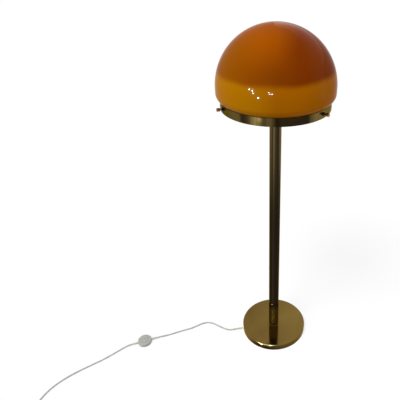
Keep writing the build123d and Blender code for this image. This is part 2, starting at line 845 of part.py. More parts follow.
# Tie round the coil's turns, a quarter turn from where the cord joins it
tie_inner = coil_inner_r - cord_d / 2 - tie_side_gap
tie_outer = coil_outer_r - pitch / 4 + cord_d / 2 + tie_side_gap
tie_high = pitch + cord_d + 2 * soft_gap
tie_corner = Vector(coil_centre.X, coil_centre.Y - tie_inner, tie_t)
with BuildPart() as coil_tie:
    with BuildSketch(side_plane(tie_corner, Vector(0, -1, 0))):
        with Locations(((tie_outer - tie_inner) / 2, tie_high / 2)):
            RectangleRounded(tie_outer - tie_inner + 2 * tie_t, tie_high + 2 * tie_t,
                             tie_corner_r)
            RectangleRounded(tie_outer - tie_inner, tie_high, tie_corner_r - tie_t,
                             mode=Mode.SUBTRACT)
    extrude(amount=tie_w / 2, both=True)
finish(coil_tie, "coil_tie")

# ---- Plug --------------------------------------------------------------------------------------

plug_dir = Vector(0, -1, 0)
plug_z = plug_body_t / 2
tail_start = coil_end + coil_end_dir * cord_d
boot_mouth = Vector(tail_start.X + tail_side, tail_start.Y - tail_l, plug_z)
cord_tube(
    [
        tail_start,
        tail_start + coil_end_dir * tail_run,
        boot_mouth - plug_dir * tail_run,
        boot_mouth,
    ],
    "cord_tail",
)

plug_back = boot_mouth + plug_dir * boot_l
with BuildPart() as plug_sleeve:
    with BuildSketch(side_plane(boot_mouth, plug_dir)):
        with BuildLine():
            Polyline(
                (0, 0),
                (0, boot_end_r),
                (boot_l, boot_root_r),
                (boot_l, 0),
                close=True,
            )
        make_face()
    revolve(axis=Axis(boot_mouth, plug_dir))
finish(plug_sleeve, "plug_sleeve")

plug_plan = Plane(origin=plug_back - UP * plug_z, x_dir=plug_dir, z_dir=(0, 0, 1))
pin_plane = Plane(origin=plug_back + plug_dir * (plug_body_l - pin_root),
                  x_dir=plug_dir.cross(UP), z_dir=plug_dir)
with BuildPart() as plug_body:
    with BuildSketch(plug_plan):
        with BuildLine():
            Polyline(
                (0, -plug_back_w / 2),
                (0, plug_back_w / 2),
                (plug_taper_l, plug_body_w / 2),
                (plug_body_l, plug_body_w / 2),
                (plug_body_l, -plug_body_w / 2),
                (plug_taper_l, -plug_body_w / 2),
                close=True,
            )
        make_face()
    extrude(amount=plug_body_t)
    fillet(plug_body.edges().filter_by(Axis.Z), plug_corner_r)
    fillet(plug_body.edges().group_by(Axis.Z)[-1], plug_edge_r)
    with BuildSketch(pin_plane):
        with Locations((-pin_pitch / 2, 0), (pin_pitch / 2, 0)):
            Circle(pin_r)
    extrude(amount=pin_root, mode=Mode.SUBTRACT)
finish(plug_body, "plug_body")

with BuildPart() as plug_pins:
    with BuildSketch(pin_plane):
        with Locations((-pin_pitch / 2, 0), (pin_pitch / 2, 0)):
            Circle(pin_r)
    extrude(amount=pin_root + pin_l)
    fillet(plug_pins.edges().group_by(Axis.Y)[0], pin_tip_r)
finish(plug_pins, "plug_pins")

# ---- Foot switch -------------------------------------------------------------------------------


def switch_plane(z):
    """Level plane in the switch, local x towards the plug's side of the cord."""
    return Plane(origin=switch_centre + UP * z, x_dir=switch_dir, z_dir=(0, 0, 1))


entry_plane = side_plane(entry, switch_dir)
entry_axis = Axis(entry, switch_dir)
button_under = switch_h - switch_wall
button_edge_z = switch_h + button_proud
skirt_z = button_under - plug_gap - button_skirt_t
floor_top = switch_wall
block_top = skirt_z - button_travel - 2 * plug_gap
boot_bore_r = switch_boot_neck_r + plug_gap
screw_top = button_under - switch_wall / 2

with BuildPart() as switch_base:
    with BuildSketch(switch_plane(0)):
        Circle(switch_r)
    extrude(amount=switch_split_z)
    fillet(switch_base.edges().group_by(Axis.Z)[0], switch_foot_edge_r)
    with BuildSketch(switch_plane(floor_top)):
        Circle(switch_r - switch_wall)
    extrude(amount=switch_split_z - floor_top, mode=Mode.SUBTRACT)
    with BuildSketch(switch_plane(floor_top)):
        with Locations((0, -boss_offset), (0, boss_offset)):
            Circle(boss_r)
    extrude(amount=switch_split_z - floor_top)
    with Locations(switch_plane(0)):
        with Locations((0, -boss_offset), (0, boss_offset)):
            Cylinder(switch_screw_r + running_gap, switch_split_z, align=ON_BASE,
                     mode=Mode.SUBTRACT)
            Cylinder(switch_head_r + plug_gap, switch_head_sink + switch_head_t, align=ON_BASE,
                     mode=Mode.SUBTRACT)
    with BuildSketch(across_plane(entry, switch_dir)):
        Circle(boot_bore_r)
    extrude(amount=switch_r + switch_wall, both=True, mode=Mode.SUBTRACT)
finish(switch_base, "switch_base")

with BuildPart() as switch_top:
    with BuildSketch(switch_plane(switch_split_z)):
        Circle(switch_r)
    extrude(amount=switch_h - switch_split_z)
    fillet(switch_top.edges().group_by(Axis.Z)[-1], switch_edge_r)
    with BuildSketch(switch_plane(switch_split_z)):
        Circle(switch_r - switch_wall)
    extrude(amount=button_under - switch_split_z, mode=Mode.SUBTRACT)
    with BuildSketch(switch_plane(switch_split_z)):
        with Locations((0, -boss_offset), (0, boss_offset)):
            Circle(boss_r)
    extrude(amount=button_under - switch_split_z)
    with BuildSketch(switch_plane(switch_split_z)):
        with Locations((0, -boss_offset), (0, boss_offset)):
            Circle(switch_screw_r + running_gap)
    extrude(amount=screw_top - switch_split_z, mode=Mode.SUBTRACT)
    with BuildSketch(switch_plane(button_under)):
        Circle(button_r + plug_gap)
    extrude(amount=switch_wall, mode=Mode.SUBTRACT)
    with BuildSketch(across_plane(entry, switch_dir)):
        Circle(boot_bore_r)
    extrude(amount=switch_r + switch_wall, both=True, mode=Mode.SUBTRACT)
finish(switch_top, "switch_top")

with BuildPart() as switch_button:
    with BuildSketch(side_plane(switch_centre, switch_dir)):
        with BuildLine():
            Polyline(
                (0, button_edge_z + button_crown),
                (button_r - button_bevel, button_edge_z),
                (button_r, button_edge_z - button_bevel),
                (button_r, skirt_z + button_skirt_t),
                (button_skirt_r, skirt_z + button_skirt_t),
                (button_skirt_r, skirt_z),
                (button_r - button_wall, skirt_z),
                (button_r - button_wall, button_edge_z - button_wall),
                (post_r, button_edge_z - button_wall),
                (post_r, skirt_z + button_skirt_t),
                (0, skirt_z + button_skirt_t),
                close=True,
            )
        make_face()
    revolve(axis=Axis(switch_centre, UP))
    with BuildSketch(Plane.XY.offset(button_edge_z + button_crown)):
        with Locations((switch_x + pip_x, switch_y + pip_y)):
            Circle(pip_r)
    extrude(amount=-button_crown - pip_depth, mode=Mode.SUBTRACT)
finish(switch_button, "switch_button")

with BuildPart() as switch_block:
    with BuildSketch(switch_plane(floor_top)):
        RectangleRounded(block_l, block_w, block_corner_r)
    extrude(amount=block_top - floor_top)
finish(switch_block, "switch_block")

# Return spring between the contact block and the button: a helix in quarter-turn biarcs
spring_low = block_top + spring_wire_d / 2
spring_high = button_edge_z - button_wall - spring_wire_d / 2
spring_rise = (spring_high - spring_low) / spring_turns


def spring_at(turns):
    """Point on the spring's centre line and the direction of travel there."""
    angle = 2 * pi * turns
    outward = Vector(cos(angle), sin(angle), 0)
    along = Vector(-sin(angle), cos(angle), 0)
    point = switch_centre + outward * spring_r + UP * (spring_low + spring_rise * turns)
    return point, (along * (2 * pi * spring_r) + UP * spring_rise).normalized()


spring_steps = [spring_at(step / 4) for step in range(4 * spring_turns + 1)]
with BuildPart() as switch_spring:
    with BuildLine() as spring_line:
        for (start, start_dir), (end, end_dir) in zip(spring_steps, spring_steps[1:]):
            joint, joint_dir = biarc_joint(start, start_dir, end, end_dir)
            TangentArc(start, joint, tangent=start_dir)
            TangentArc(joint, end, tangent=joint_dir)
    with BuildSketch(across_plane(spring_steps[0][0], spring_steps[0][1])):
        Circle(spring_wire_d / 2)
    sweep(path=spring_line.wire())
finish(switch_spring, "switch_spring")

with BuildPart() as switch_screws:
    with Locations(switch_plane(switch_head_sink)):
        with Locations((0, -boss_offset), (0, boss_offset)):
            Cylinder(switch_head_r, switch_head_t, align=ON_BASE)
            Cylinder(switch_screw_r, screw_top - switch_tip_gap - switch_head_sink,
                     align=ON_BASE)
finish(switch_screws, "switch_screws")

# Tapered sleeves at the switch's two mouths, and the sheathed cord ends inside them
sleeve_start = sqrt((switch_r - switch_wall) ** 2 - switch_boot_flange_r**2) - plug_gap
with BuildPart() as switch_sleeves:
    for side in (-1, 1):
        with BuildSketch(entry_plane):
            with BuildLine():
                Polyline(
                    (side * (sleeve_start - boot_flange_t), lead_hole_r),
                    (side * (sleeve_start - boot_flange_t), switch_boot_flange_r),
                    (side * sleeve_start, switch_boot_flange_r),
                    (side * sleeve_start, switch_boot_neck_r),
                    (side * switch_r, switch_boot_neck_r),
                    (side * switch_r, boot_root_r),
                    (side * boot_reach, boot_end_r),
                    (side * boot_reach, lead_hole_r),
                    close=True,
                )
            make_face()
        revolve(axis=entry_axis)
finish(switch_sleeves, "switch_sleeves")

# the sheath stops short of the button's skirt, and the bare cores go on to the block
sheath_end = button_skirt_r + 2 * soft_gap
core_lanes = ((0, -core_spread), (0, core_spread))
with BuildPart() as switch_leads:
    for side in (-1, 1):
        out = switch_dir * side
        with BuildSketch(across_plane(entry + out * sheath_end, out)):
            Circle(cord_d / 2)
        extrude(amount=boot_reach - sheath_end)
        with BuildSketch(Plane(origin=entry + out * sheath_end, x_dir=UP, z_dir=out)):
            with Locations(*core_lanes):
                Circle(core_d / 2)
        extrude(amount=block_l / 2 - sheath_end)
finish(switch_leads, "switch_leads")
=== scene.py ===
from math import asin, atan2, cos, degrees, pi, radians, sin, sqrt

import bpy
from mathutils import Matrix, Vector


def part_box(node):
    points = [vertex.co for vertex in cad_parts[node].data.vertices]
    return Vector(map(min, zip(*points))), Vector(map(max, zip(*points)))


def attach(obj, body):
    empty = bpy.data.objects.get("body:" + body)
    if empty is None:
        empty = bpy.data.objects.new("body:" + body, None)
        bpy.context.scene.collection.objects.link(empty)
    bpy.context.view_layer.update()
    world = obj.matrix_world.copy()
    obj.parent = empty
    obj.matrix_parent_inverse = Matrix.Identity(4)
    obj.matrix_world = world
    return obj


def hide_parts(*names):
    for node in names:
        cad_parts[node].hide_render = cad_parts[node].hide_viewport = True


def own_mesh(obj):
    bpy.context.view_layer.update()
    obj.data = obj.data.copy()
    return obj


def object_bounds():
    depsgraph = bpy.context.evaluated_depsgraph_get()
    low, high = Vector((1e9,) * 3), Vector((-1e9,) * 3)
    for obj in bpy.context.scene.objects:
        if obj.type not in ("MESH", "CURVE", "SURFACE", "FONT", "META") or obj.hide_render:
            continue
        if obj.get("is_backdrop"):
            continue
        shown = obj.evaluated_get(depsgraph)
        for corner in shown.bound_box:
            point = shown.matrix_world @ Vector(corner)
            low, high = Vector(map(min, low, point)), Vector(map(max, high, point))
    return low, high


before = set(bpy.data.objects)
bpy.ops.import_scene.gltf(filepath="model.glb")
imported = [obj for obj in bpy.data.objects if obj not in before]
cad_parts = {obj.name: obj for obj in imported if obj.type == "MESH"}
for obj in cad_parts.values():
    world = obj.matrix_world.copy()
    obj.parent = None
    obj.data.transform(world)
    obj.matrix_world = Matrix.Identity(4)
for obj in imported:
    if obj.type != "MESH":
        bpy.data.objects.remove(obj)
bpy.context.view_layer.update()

# ---- Ballast, felt and what clamps them ------------------------------------------------------
# Cast-iron ballast on a felt disc, drawn up against the cover by a nut and a washer on the
# tie rod. A nylon block with two screws holds the cord's sheath in the hollow underneath.


def linear(code):
    """Scene colour of a written colour code such as 7A6030."""
    parts = [int(code[place:place + 2], 16) / 255 for place in (0, 2, 4)]
    return tuple(p / 12.92 if p <= 0.04045 else ((p + 0.055) / 1.055) ** 2.4 for p in parts) + (1,)


def put(tree, kind, *wires, **sockets):
    """Add a node, set its sockets by name, and wire other nodes' outputs into its named sockets."""
    node = tree.nodes.new(kind)
    for name, value in sockets.items():
        if hasattr(node, name):
            setattr(node, name, value)
        else:
            node.inputs[name.replace("_", " ")].default_value = value
    for output, socket in wires:
        tree.links.new(output, node.inputs[socket])
    return node


def finish_of(name, colour, roughness, metallic=0.0, **sockets):
    """New material with its constant values on the shader's own sockets."""
    material = bpy.data.materials.new(name)
    material.use_nodes = True
    shader = material.node_tree.nodes["Principled BSDF"]
    shader.inputs["Base Color"].default_value = linear(colour)
    shader.inputs["Roughness"].default_value = roughness
    shader.inputs["Metallic"].default_value = metallic
    for socket, value in sockets.items():
        shader.inputs[socket.replace("_", " ")].default_value = value
    return material, material.node_tree, shader


def effect_group(name, inputs, outputs):
    """Empty shader group with named inputs, each with its usual value, and named outputs."""
    group = bpy.data.node_groups.new(name, "ShaderNodeTree")
    for label, value in inputs.items():
        socket = group.interface.new_socket(label, in_out="INPUT", socket_type="NodeSocketFloat")
        socket.default_value = value
    for label in outputs:
        group.interface.new_socket(label, in_out="OUTPUT", socket_type="NodeSocketFloat")
    return group, group.nodes.new("NodeGroupInput"), group.nodes.new("NodeGroupOutput")


def place_effect(tree, group, **values):
    """Place a shared effect in a material, with its own values."""
    node = tree.nodes.new("ShaderNodeGroup")
    node.node_tree = group
    for label, value in values.items():
        node.inputs[label.replace("_", " ")].default_value = value
    return node


# Cloudy unevenness of a surface: patches, and streaks drawn out along Z
mottle, given, sent = effect_group(
    "mottle", {"Patch Scale": 20, "Streak Scale": 90, "Streak Share": 0.3}, ["Mask", "Height"])
where = put(mottle, "ShaderNodeTexCoord").outputs["Object"]
patches = put(mottle, "ShaderNodeTexNoise", (where, "Vector"),
              (given.outputs["Patch Scale"], "Scale"), Detail=5, Roughness=0.6)
drawn_out = put(mottle, "ShaderNodeMapping", (where, "Vector"), Scale=(1, 1, 0.05))
streaks = put(mottle, "ShaderNodeTexNoise", (drawn_out.outputs["Vector"], "Vector"),
              (given.outputs["Streak Scale"], "Scale"), Detail=3, Roughness=0.5)
blend = put(mottle, "ShaderNodeMix", (given.outputs["Streak Share"], "Factor"),
            (patches.outputs["Fac"], "A"), (streaks.outputs["Fac"], "B"))
spread = put(mottle, "ShaderNodeMapRange", (blend.outputs["Result"], "Value"),
             From_Min=0.36, From_Max=0.64)
mottle.links.new(spread.outputs["Result"], sent.inputs["Mask"])
mottle.links.new(streaks.outputs["Fac"], sent.inputs["Height"])

# Fine grain, as of a casting, felt or moulded plastic
grain, given, sent = effect_group("grain", {"Scale": 600, "Softness": 0.5}, ["Height"])
where = put(grain, "ShaderNodeTexCoord").outputs["Object"]
speckle = put(grain, "ShaderNodeTexNoise", (where, "Vector"), (given.outputs["Scale"], "Scale"),
              (given.outputs["Softness"], "Roughness"), Detail=4)
grain.links.new(speckle.outputs["Fac"], sent.inputs["Height"])


def mottled(tree, shader, pale, dark, roughness=None, **values):
    """Colour, and where wanted roughness, that wander between two values over the surface."""
    effect = place_effect(tree, mottle, **values)
    mix = put(tree, "ShaderNodeMix", (effect.outputs["Mask"], "Factor"), data_type="RGBA")
    mix.inputs["A"].default_value = linear(pale)
    mix.inputs["B"].default_value = linear(dark)
    tree.links.new(mix.outputs["Result"], shader.inputs["Base Color"])
    if roughness:
        span = put(tree, "ShaderNodeMapRange", (effect.outputs["Mask"], "Value"),
                   To_Min=roughness[0], To_Max=roughness[1])
        tree.links.new(span.outputs["Result"], shader.inputs["Roughness"])
    return effect


def rough_to_touch(tree, shader, height, strength, depth):
    """Turn a height into a bump, depth in metres."""
    bump = put(tree, "ShaderNodeBump", (height, "Height"), Strength=strength, Distance=depth)
    tree.links.new(bump.outputs["Normal"], shader.inputs["Normal"])


def plain_stuff(name, pale, dark, roughness, metallic=0.0, grain_scale=900, depth=0.0002,
                patch_scale=60):
    """Everyday finish: a little mottled in colour and shine, with a fine grain."""
    material, tree, shader = finish_of(name, pale, roughness, metallic)
    mottled(tree, shader, pale, dark, (roughness * 0.8, min(roughness * 1.25, 1)),
            Patch_Scale=patch_scale, Streak_Share=0.1)
    specks = place_effect(tree, grain, Scale=grain_scale)
    rough_to_touch(tree, shader, specks.outputs["Height"], 0.35, depth)
    return material


def paint(material, *nodes):
    """Give CAD pieces their finish."""
    for name in nodes:
        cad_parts[name].material_slots[0].material = material


cast_iron = plain_stuff("cast_iron", "2C2B2A", "1B1A19", 0.75, 0.6, 260, 0.0012)
green_felt = plain_stuff("felt", "26301F", "1A2216", 0.95, 0, 1500, 0.0010)
zinc_steel = plain_stuff("zinc_steel", "B4B3AC", "8E8D86", 0.32, 1.0, 1400, 0.0001)
nylon = plain_stuff("nylon", "DAD7CB", "C9C4B4", 0.42)
sheath = plain_stuff("cord_sheath", "B9B8B3", "A5A49E", 0.45, 0, 1600, 0.0001)
wire_cover = plain_stuff("wire_cover", "6B3A22", "4E2A1A", 0.4)
paint(cast_iron, "base_weight")
paint(green_felt, "base_felt")
paint(zinc_steel, "base_washer", "base_nut", "clamp_screws", "tie_rod")
paint(nylon, "cord_clamp")
paint(sheath, "inner_lead")
paint(wire_cover, "lamp_wires")

# ---- Foot cover -------------------------------------------------------------------------------
# Disc of brass sheet spun over the ballast, with a rolled edge and an open underside. Its dark
# brass tone is partly old lacquer and partly a painted reflection of dark surroundings. The disc
# is painted darker towards -X, a painted reflection, and the side of the rolled edge is painted
# lighter and darker by direction, another painted reflection. The rings left by spinning show
# in the reflections.
COVER_WALL = 0.0015
COVER_EDGE_R = 0.005
COVER_HOLE_R = 0.0053
POLE_R = 1e-5
SIDES = 128


def arc_rings(middle_r, middle_z, radius, start, end, steps):
    """Rings of an arc in a turned piece's profile; angles in degrees from outwards, up positive."""
    angles = [radians(start + (end - start) * step / steps) for step in range(steps + 1)]
    return [(middle_r + radius * cos(a), middle_z + radius * sin(a)) for a in angles]


def turned(name, rings, sides=SIDES, closed=True):
    """Turn a piece about the Z axis: a circle is extruded from ring to ring, each a radius and a
    height. A closed profile comes back to its first ring, and a ring with no radius is a pole."""
    bpy.ops.object.select_all(action="DESELECT")
    bpy.ops.mesh.primitive_circle_add(vertices=sides, radius=1)
    piece = bpy.context.object
    piece.name = name
    bpy.ops.object.mode_set(mode="EDIT")
    bpy.ops.mesh.select_all(action="SELECT")
    steps = [(max(radius, POLE_R), height) for radius, height in rings]
    if closed:
        steps.append(steps[0])
    radius, height = 1, 0
    for count, (next_radius, next_height) in enumerate(steps):
        if count:
            bpy.ops.mesh.extrude_region_move(
                TRANSFORM_OT_translate={"value": (0, 0, next_height - height)})
        else:
            bpy.ops.transform.translate(value=(0, 0, next_height))
        ratio = next_radius / radius
        bpy.ops.transform.resize(value=(ratio, ratio, 1), center_override=(0, 0, 0))
        radius, height = next_radius, next_height
    bpy.ops.mesh.select_all(action="SELECT")
    bpy.ops.mesh.remove_doubles(threshold=2 * POLE_R)
    bpy.ops.mesh.normals_make_consistent(inside=False)
    bpy.ops.object.mode_set(mode="OBJECT")
    bpy.ops.object.shade_smooth_by_angle(angle=radians(35))
    return piece


def dress(piece, body, slot, material, *nodes):
    """Give a new piece its finish, its body and the CAD pieces that it stands for."""
    piece.data.materials.clear()
    piece.data.materials.append(material)
    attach(piece, body)
    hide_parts(*nodes)
    return piece


# Rings left by spinning or turning, round the Z axis
lathe_rings, given, sent = effect_group("lathe_rings", {"Scale": 900}, ["Height"])
where = put(lathe_rings, "ShaderNodeTexCoord").outputs["Object"]
level = put(lathe_rings, "ShaderNodeVectorMath", (where, 0), operation="MULTIPLY")
level.inputs[1].default_value = (1, 1, 0)
reach = put(lathe_rings, "ShaderNodeVectorMath", (level.outputs["Vector"], 0), operation="LENGTH")
lines = put(lathe_rings, "ShaderNodeTexNoise", (reach.outputs["Value"], "W"),
            (given.outputs["Scale"], "Scale"), noise_dimensions="1D", Detail=3)
lathe_rings.links.new(lines.outputs["Fac"], sent.inputs["Height"])


def painted_reflection_bands(name, shares):
    """Shader group with the share of the bright tone by direction round the Z axis: upright bands
    of light and dark fixed to the object, which are painted reflections; shares are pairs of
    degrees from the front and a value."""
    group, given, sent = effect_group(name, {"Wander": 0.02}, ["Mask"])
    where = put(group, "ShaderNodeTexCoord").outputs["Object"]
    split = put(group, "ShaderNodeSeparateXYZ", (where, "Vector"))
    front = put(group, "ShaderNodeMath", (split.outputs["Y"], 0), operation="MULTIPLY")
    front.inputs[1].default_value = -1
    angle = put(group, "ShaderNodeMath", (split.outputs["X"], 0), (front.outputs["Value"], 1),
                operation="ARCTAN2")
    share = put(group, "ShaderNodeMapRange", (angle.outputs["Value"], "Value"), From_Min=-pi, From_Max=pi)
    noise = put(group, "ShaderNodeTexNoise", (where, "Vector"), Scale=9, Detail=2)
    waver = put(group, "ShaderNodeMath", (noise.outputs["Fac"], 0), operation="SUBTRACT")
    waver.inputs[1].default_value = 0.5
    around = put(group, "ShaderNodeMath", (waver.outputs["Value"], 0), (given.outputs["Wander"], 1),
                 (share.outputs["Result"], 2), operation="MULTIPLY_ADD")
    ramp = put(group, "ShaderNodeValToRGB", (around.outputs["Value"], "Fac"))
    stops = ramp.color_ramp.elements
    for degrees_round, value in shares:
        stop = stops.new((degrees_round + 180) / 360)
        stop.color = (value, value, value, 1)
    stops.remove(stops[0])
    stops.remove(stops[-1])
    grey = put(group, "ShaderNodeRGBToBW", (ramp.outputs["Color"], "Color"))
    group.links.new(grey.outputs["Val"], sent.inputs["Mask"])
    return group


# Share of the lighter tone round the cover's edge, in degrees from the front: painted reflections
RIM_REFLECTION_SHARES = ((-178, 0.8), (-60, 0.95), (-45, 0.6), (-36, 0.1), (-4, 0.04), (10, 0.3), (38, 0.45),
              (60, 0.8), (178, 0.8))

cover_low, cover_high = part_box("base_cover")
cover_r = cover_high.x
cover_brass, tree, shader = finish_of("foot_brass", "7A622F", 0.09, 1.0, Specular_Tint=linear("D2C8B4"))
effect = mottled(tree, shader, "806A37", "6A5228", (0.07, 0.12), Patch_Scale=7, Streak_Share=0)
rings = place_effect(tree, lathe_rings, Scale=700)
rough_to_touch(tree, shader, rings.outputs["Height"], 0.1, 0.0002)
where = put(tree, "ShaderNodeTexCoord").outputs["Object"]
height = put(tree, "ShaderNodeSeparateXYZ", (where, "Vector"))
# Painted reflection: towards -X the disc's colour is pulled to the darker tone, mixed with the mottling
painted_dark_side = put(tree, "ShaderNodeMapRange", (height.outputs["X"], "Value"), From_Min=0.09, From_Max=-0.09)
cloud = put(tree, "ShaderNodeMix", (effect.outputs["Mask"], "A"), (painted_dark_side.outputs["Result"], "B"))
cloud.inputs["Factor"].default_value = 0.6
tree.links.new(cloud.outputs["Result"], shader.inputs["Base Color"].links[0].from_node.inputs["Factor"])
# Painted reflection: below the top of the rolled edge, the cover turns to a colour that runs from dark to light by
# direction round it
rim = put(tree, "ShaderNodeMapRange", (height.outputs["Z"], "Value"), interpolation_type="SMOOTHSTEP",
          From_Min=cover_high.z - 0.0012, From_Max=cover_high.z - 0.0035)
rim_reflection_bands = place_effect(tree, painted_reflection_bands("rim_reflection_bands", RIM_REFLECTION_SHARES))
rim_reflection_colour = put(tree, "ShaderNodeMix", (rim_reflection_bands.outputs["Mask"], "Factor"), data_type="RGBA")
rim_reflection_colour.inputs["A"].default_value = linear("261C0E")
rim_reflection_colour.inputs["B"].default_value = linear("7A6233")
painted_rim_reflection = put(tree, "ShaderNodeMix", (rim.outputs["Result"], "Factor"), (rim_reflection_colour.outputs["Result"], "B"),
             data_type="RGBA")
tree.links.new(shader.inputs["Base Color"].links[0].from_socket, painted_rim_reflection.inputs["A"])
tree.links.new(painted_rim_reflection.outputs["Result"], shader.inputs["Base Color"])
inner_edge_r = COVER_EDGE_R - COVER_WALL
edge_z = cover_high.z - COVER_EDGE_R
foot_cover = turned(
    "foot_cover",
    [(COVER_HOLE_R, cover_high.z), (0.03, cover_high.z), (cover_r * 0.6, cover_high.z)]
    + arc_rings(cover_r - COVER_EDGE_R, edge_z, COVER_EDGE_R, 90, 0, 12)
    + [(cover_r, cover_low.z), (cover_r - COVER_WALL, cover_low.z)]
    + arc_rings(cover_r - COVER_EDGE_R, edge_z, inner_edge_r, 0, 90, 8)
    + [(COVER_HOLE_R, cover_high.z - COVER_WALL)])
dress(foot_cover, "stand", "brass", cover_brass, "base_cover")

# ---- Column -----------------------------------------------------------------------------------
# Straight brass tube that stands on a thin rosette, with a steel plug in each end that centres
# it on the tie rod. The tube is drawn, so its marks and its tarnish run along it. Its very dark
# tone is partly tarnish and partly a painted reflection of dark surroundings, and its upright
# bands of light and dark are painted reflections.
STEM_WALL = 0.0012
ROSETTE_EDGE_R = 0.0007

# Share of the bright tone round the column, in degrees from the front: painted reflections
STEM_REFLECTION_SHARES = ((-178, 0.4), (-120, 0.3), (-80, 0.5), (-49, 0.36), (-37, 0.22), (-27, 0.08), (-17, 0.55),
               (-7, 0.26), (3, 0.13), (20, 0.06), (33, 0.05), (44, 0.38), (59, 0.63), (90, 0.5),
               (178, 0.4))


def reflection_banded_brass(name, shares, bright_tone, dark, roughness, bump=0.08):
    """Old brass with a little mottling, painted with upright bands of a bright and a dark tone that
    stand for reflections. Its share of the bright tone is returned as well, so that it can be
    changed before it is used."""
    material, tree, shader = finish_of(name, bright_tone, roughness[0], 1.0, Specular_Tint=linear("C2B8A4"))
    band = place_effect(tree, painted_reflection_bands(name + "_bands", shares))
    cloud = place_effect(tree, mottle, Patch_Scale=11, Streak_Scale=160, Streak_Share=0.7)
    uneven = put(tree, "ShaderNodeMapRange", (cloud.outputs["Mask"], "Value"), To_Min=0.8, To_Max=1.2)
    mask = put(tree, "ShaderNodeMath", (band.outputs["Mask"], 0), (uneven.outputs["Result"], 1),
               operation="MULTIPLY")
    mix = put(tree, "ShaderNodeMix", (mask.outputs["Value"], "Factor"), data_type="RGBA")
    mix.inputs["A"].default_value = linear(dark)
    mix.inputs["B"].default_value = linear(bright_tone)
    tree.links.new(mix.outputs["Result"], shader.inputs["Base Color"])
    span = put(tree, "ShaderNodeMapRange", (cloud.outputs["Mask"], "Value"),
               To_Min=roughness[0], To_Max=roughness[1])
    tree.links.new(span.outputs["Result"], shader.inputs["Roughness"])
    rough_to_touch(tree, shader, cloud.outputs["Height"], bump, 0.0003)
    return material, tree, mask, mix


stem_low, stem_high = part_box("stem_tube")
stem_r = stem_high.x
stem_brass, tree, mask, mix = reflection_banded_brass("stem_brass", STEM_REFLECTION_SHARES, "8A774A", "1D1712", (0.16, 0.26))
where = put(tree, "ShaderNodeTexCoord").outputs["Object"]
height = put(tree, "ShaderNodeSeparateXYZ", (where, "Vector"))
# Painted reflection by height: the bands are at full strength near the top and fade into the dark tone lower down,
# and the part below about 0.1 m is painted lighter, as the foot's reflection
painted_band_fade = put(tree, "ShaderNodeMapRange", (height.outputs["Z"], "Value"), interpolation_type="SMOOTHSTEP",
            From_Min=0.54, From_Max=0.93, To_Min=0.13)
painted_foot_reflection = put(tree, "ShaderNodeMapRange", (height.outputs["Z"], "Value"), interpolation_type="SMOOTHSTEP",
            From_Min=0.136, From_Max=0.098, To_Max=0.5)
painted_reflection_by_height = put(tree, "ShaderNodeMath", (mask.outputs["Value"], 0), (painted_band_fade.outputs["Result"], 1),
                      (painted_foot_reflection.outputs["Result"], 2), operation="MULTIPLY_ADD")
tree.links.new(painted_reflection_by_height.outputs["Value"], mix.inputs["Factor"])
stem = turned("stem", [
    (stem_r, stem_low.z), (stem_r, stem_high.z),
    (stem_r - STEM_WALL, stem_high.z), (stem_r - STEM_WALL, stem_low.z)])
dress(stem, "stand", "brass", stem_brass, "stem_tube")

rosette_low, rosette_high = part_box("stem_rosette")
rosette_r = rosette_high.x
rosette = turned(
    "foot_rosette",
    [(stem_r + 0.0001, rosette_low.z), (rosette_r, rosette_low.z)]
    + arc_rings(rosette_r - ROSETTE_EDGE_R, rosette_high.z - ROSETTE_EDGE_R, ROSETTE_EDGE_R, 0, 90, 6)
    + [(stem_r + 0.0001, rosette_high.z)])
dress(rosette, "stand", "brass", cover_brass, "stem_rosette")
paint(zinc_steel, "stem_foot_plug", "stem_top_plug")

# ---- Gallery ----------------------------------------------------------------------------------
# Flat three-armed brass carrier brazed into a brass band, clamped on the column by a nut. Cork
# pads carry the glass, and three bushes in the band hold the thumbscrews.
RING_WALL = 0.0015
RING_EDGE_R = 0.0006

# Share of the bright tone round the band, in degrees from the front: painted reflections, with a painted highlight
# near -20 degrees
RING_REFLECTION_SHARES = ((-178, 0.4), (-90, 0.4), (-37, 0.38), (-35, 0.07), (-31, 0.08), (-27, 0.2), (-20, 0.92),
               (-12, 0.16), (-7.5, 0.42), (-3, 0.13), (0, 0.01), (5, 0.05), (31, 0.05), (36, 0.43),
               (42, 0.62), (90, 0.7), (140, 0.45), (178, 0.4))

ring_low, ring_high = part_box("gallery_ring")
ring_r = ring_high.x
ring_brass = reflection_banded_brass("ring_brass", RING_REFLECTION_SHARES, "8A7643", "1A120A", (0.2, 0.26), 0.02)[0]
ring = turned(
    "gallery_band",
    arc_rings(ring_r - RING_EDGE_R, ring_low.z + RING_EDGE_R, RING_EDGE_R, -90, 0, 4)
    + arc_rings(ring_r - RING_EDGE_R, ring_high.z - RING_EDGE_R, RING_EDGE_R, 0, 90, 4)
    + arc_rings(ring_r - RING_WALL + RING_EDGE_R, ring_high.z - RING_EDGE_R, RING_EDGE_R, 90, 180, 4)
    + arc_rings(ring_r - RING_WALL + RING_EDGE_R, ring_low.z + RING_EDGE_R, RING_EDGE_R, 180, 270, 4),
    sides=192)
dress(ring, "stand", "brass", ring_brass, "gallery_ring")
cork = plain_stuff("cork", "8A6238", "5C3E22", 0.9, 0, 400, 0.0006, 500)
# The carrier's arms take the band's finish, with its painted reflection bands
paint(ring_brass, "gallery_spider")
paint(cork, "arm_pads")
paint(zinc_steel, "gallery_washer", "gallery_nut")

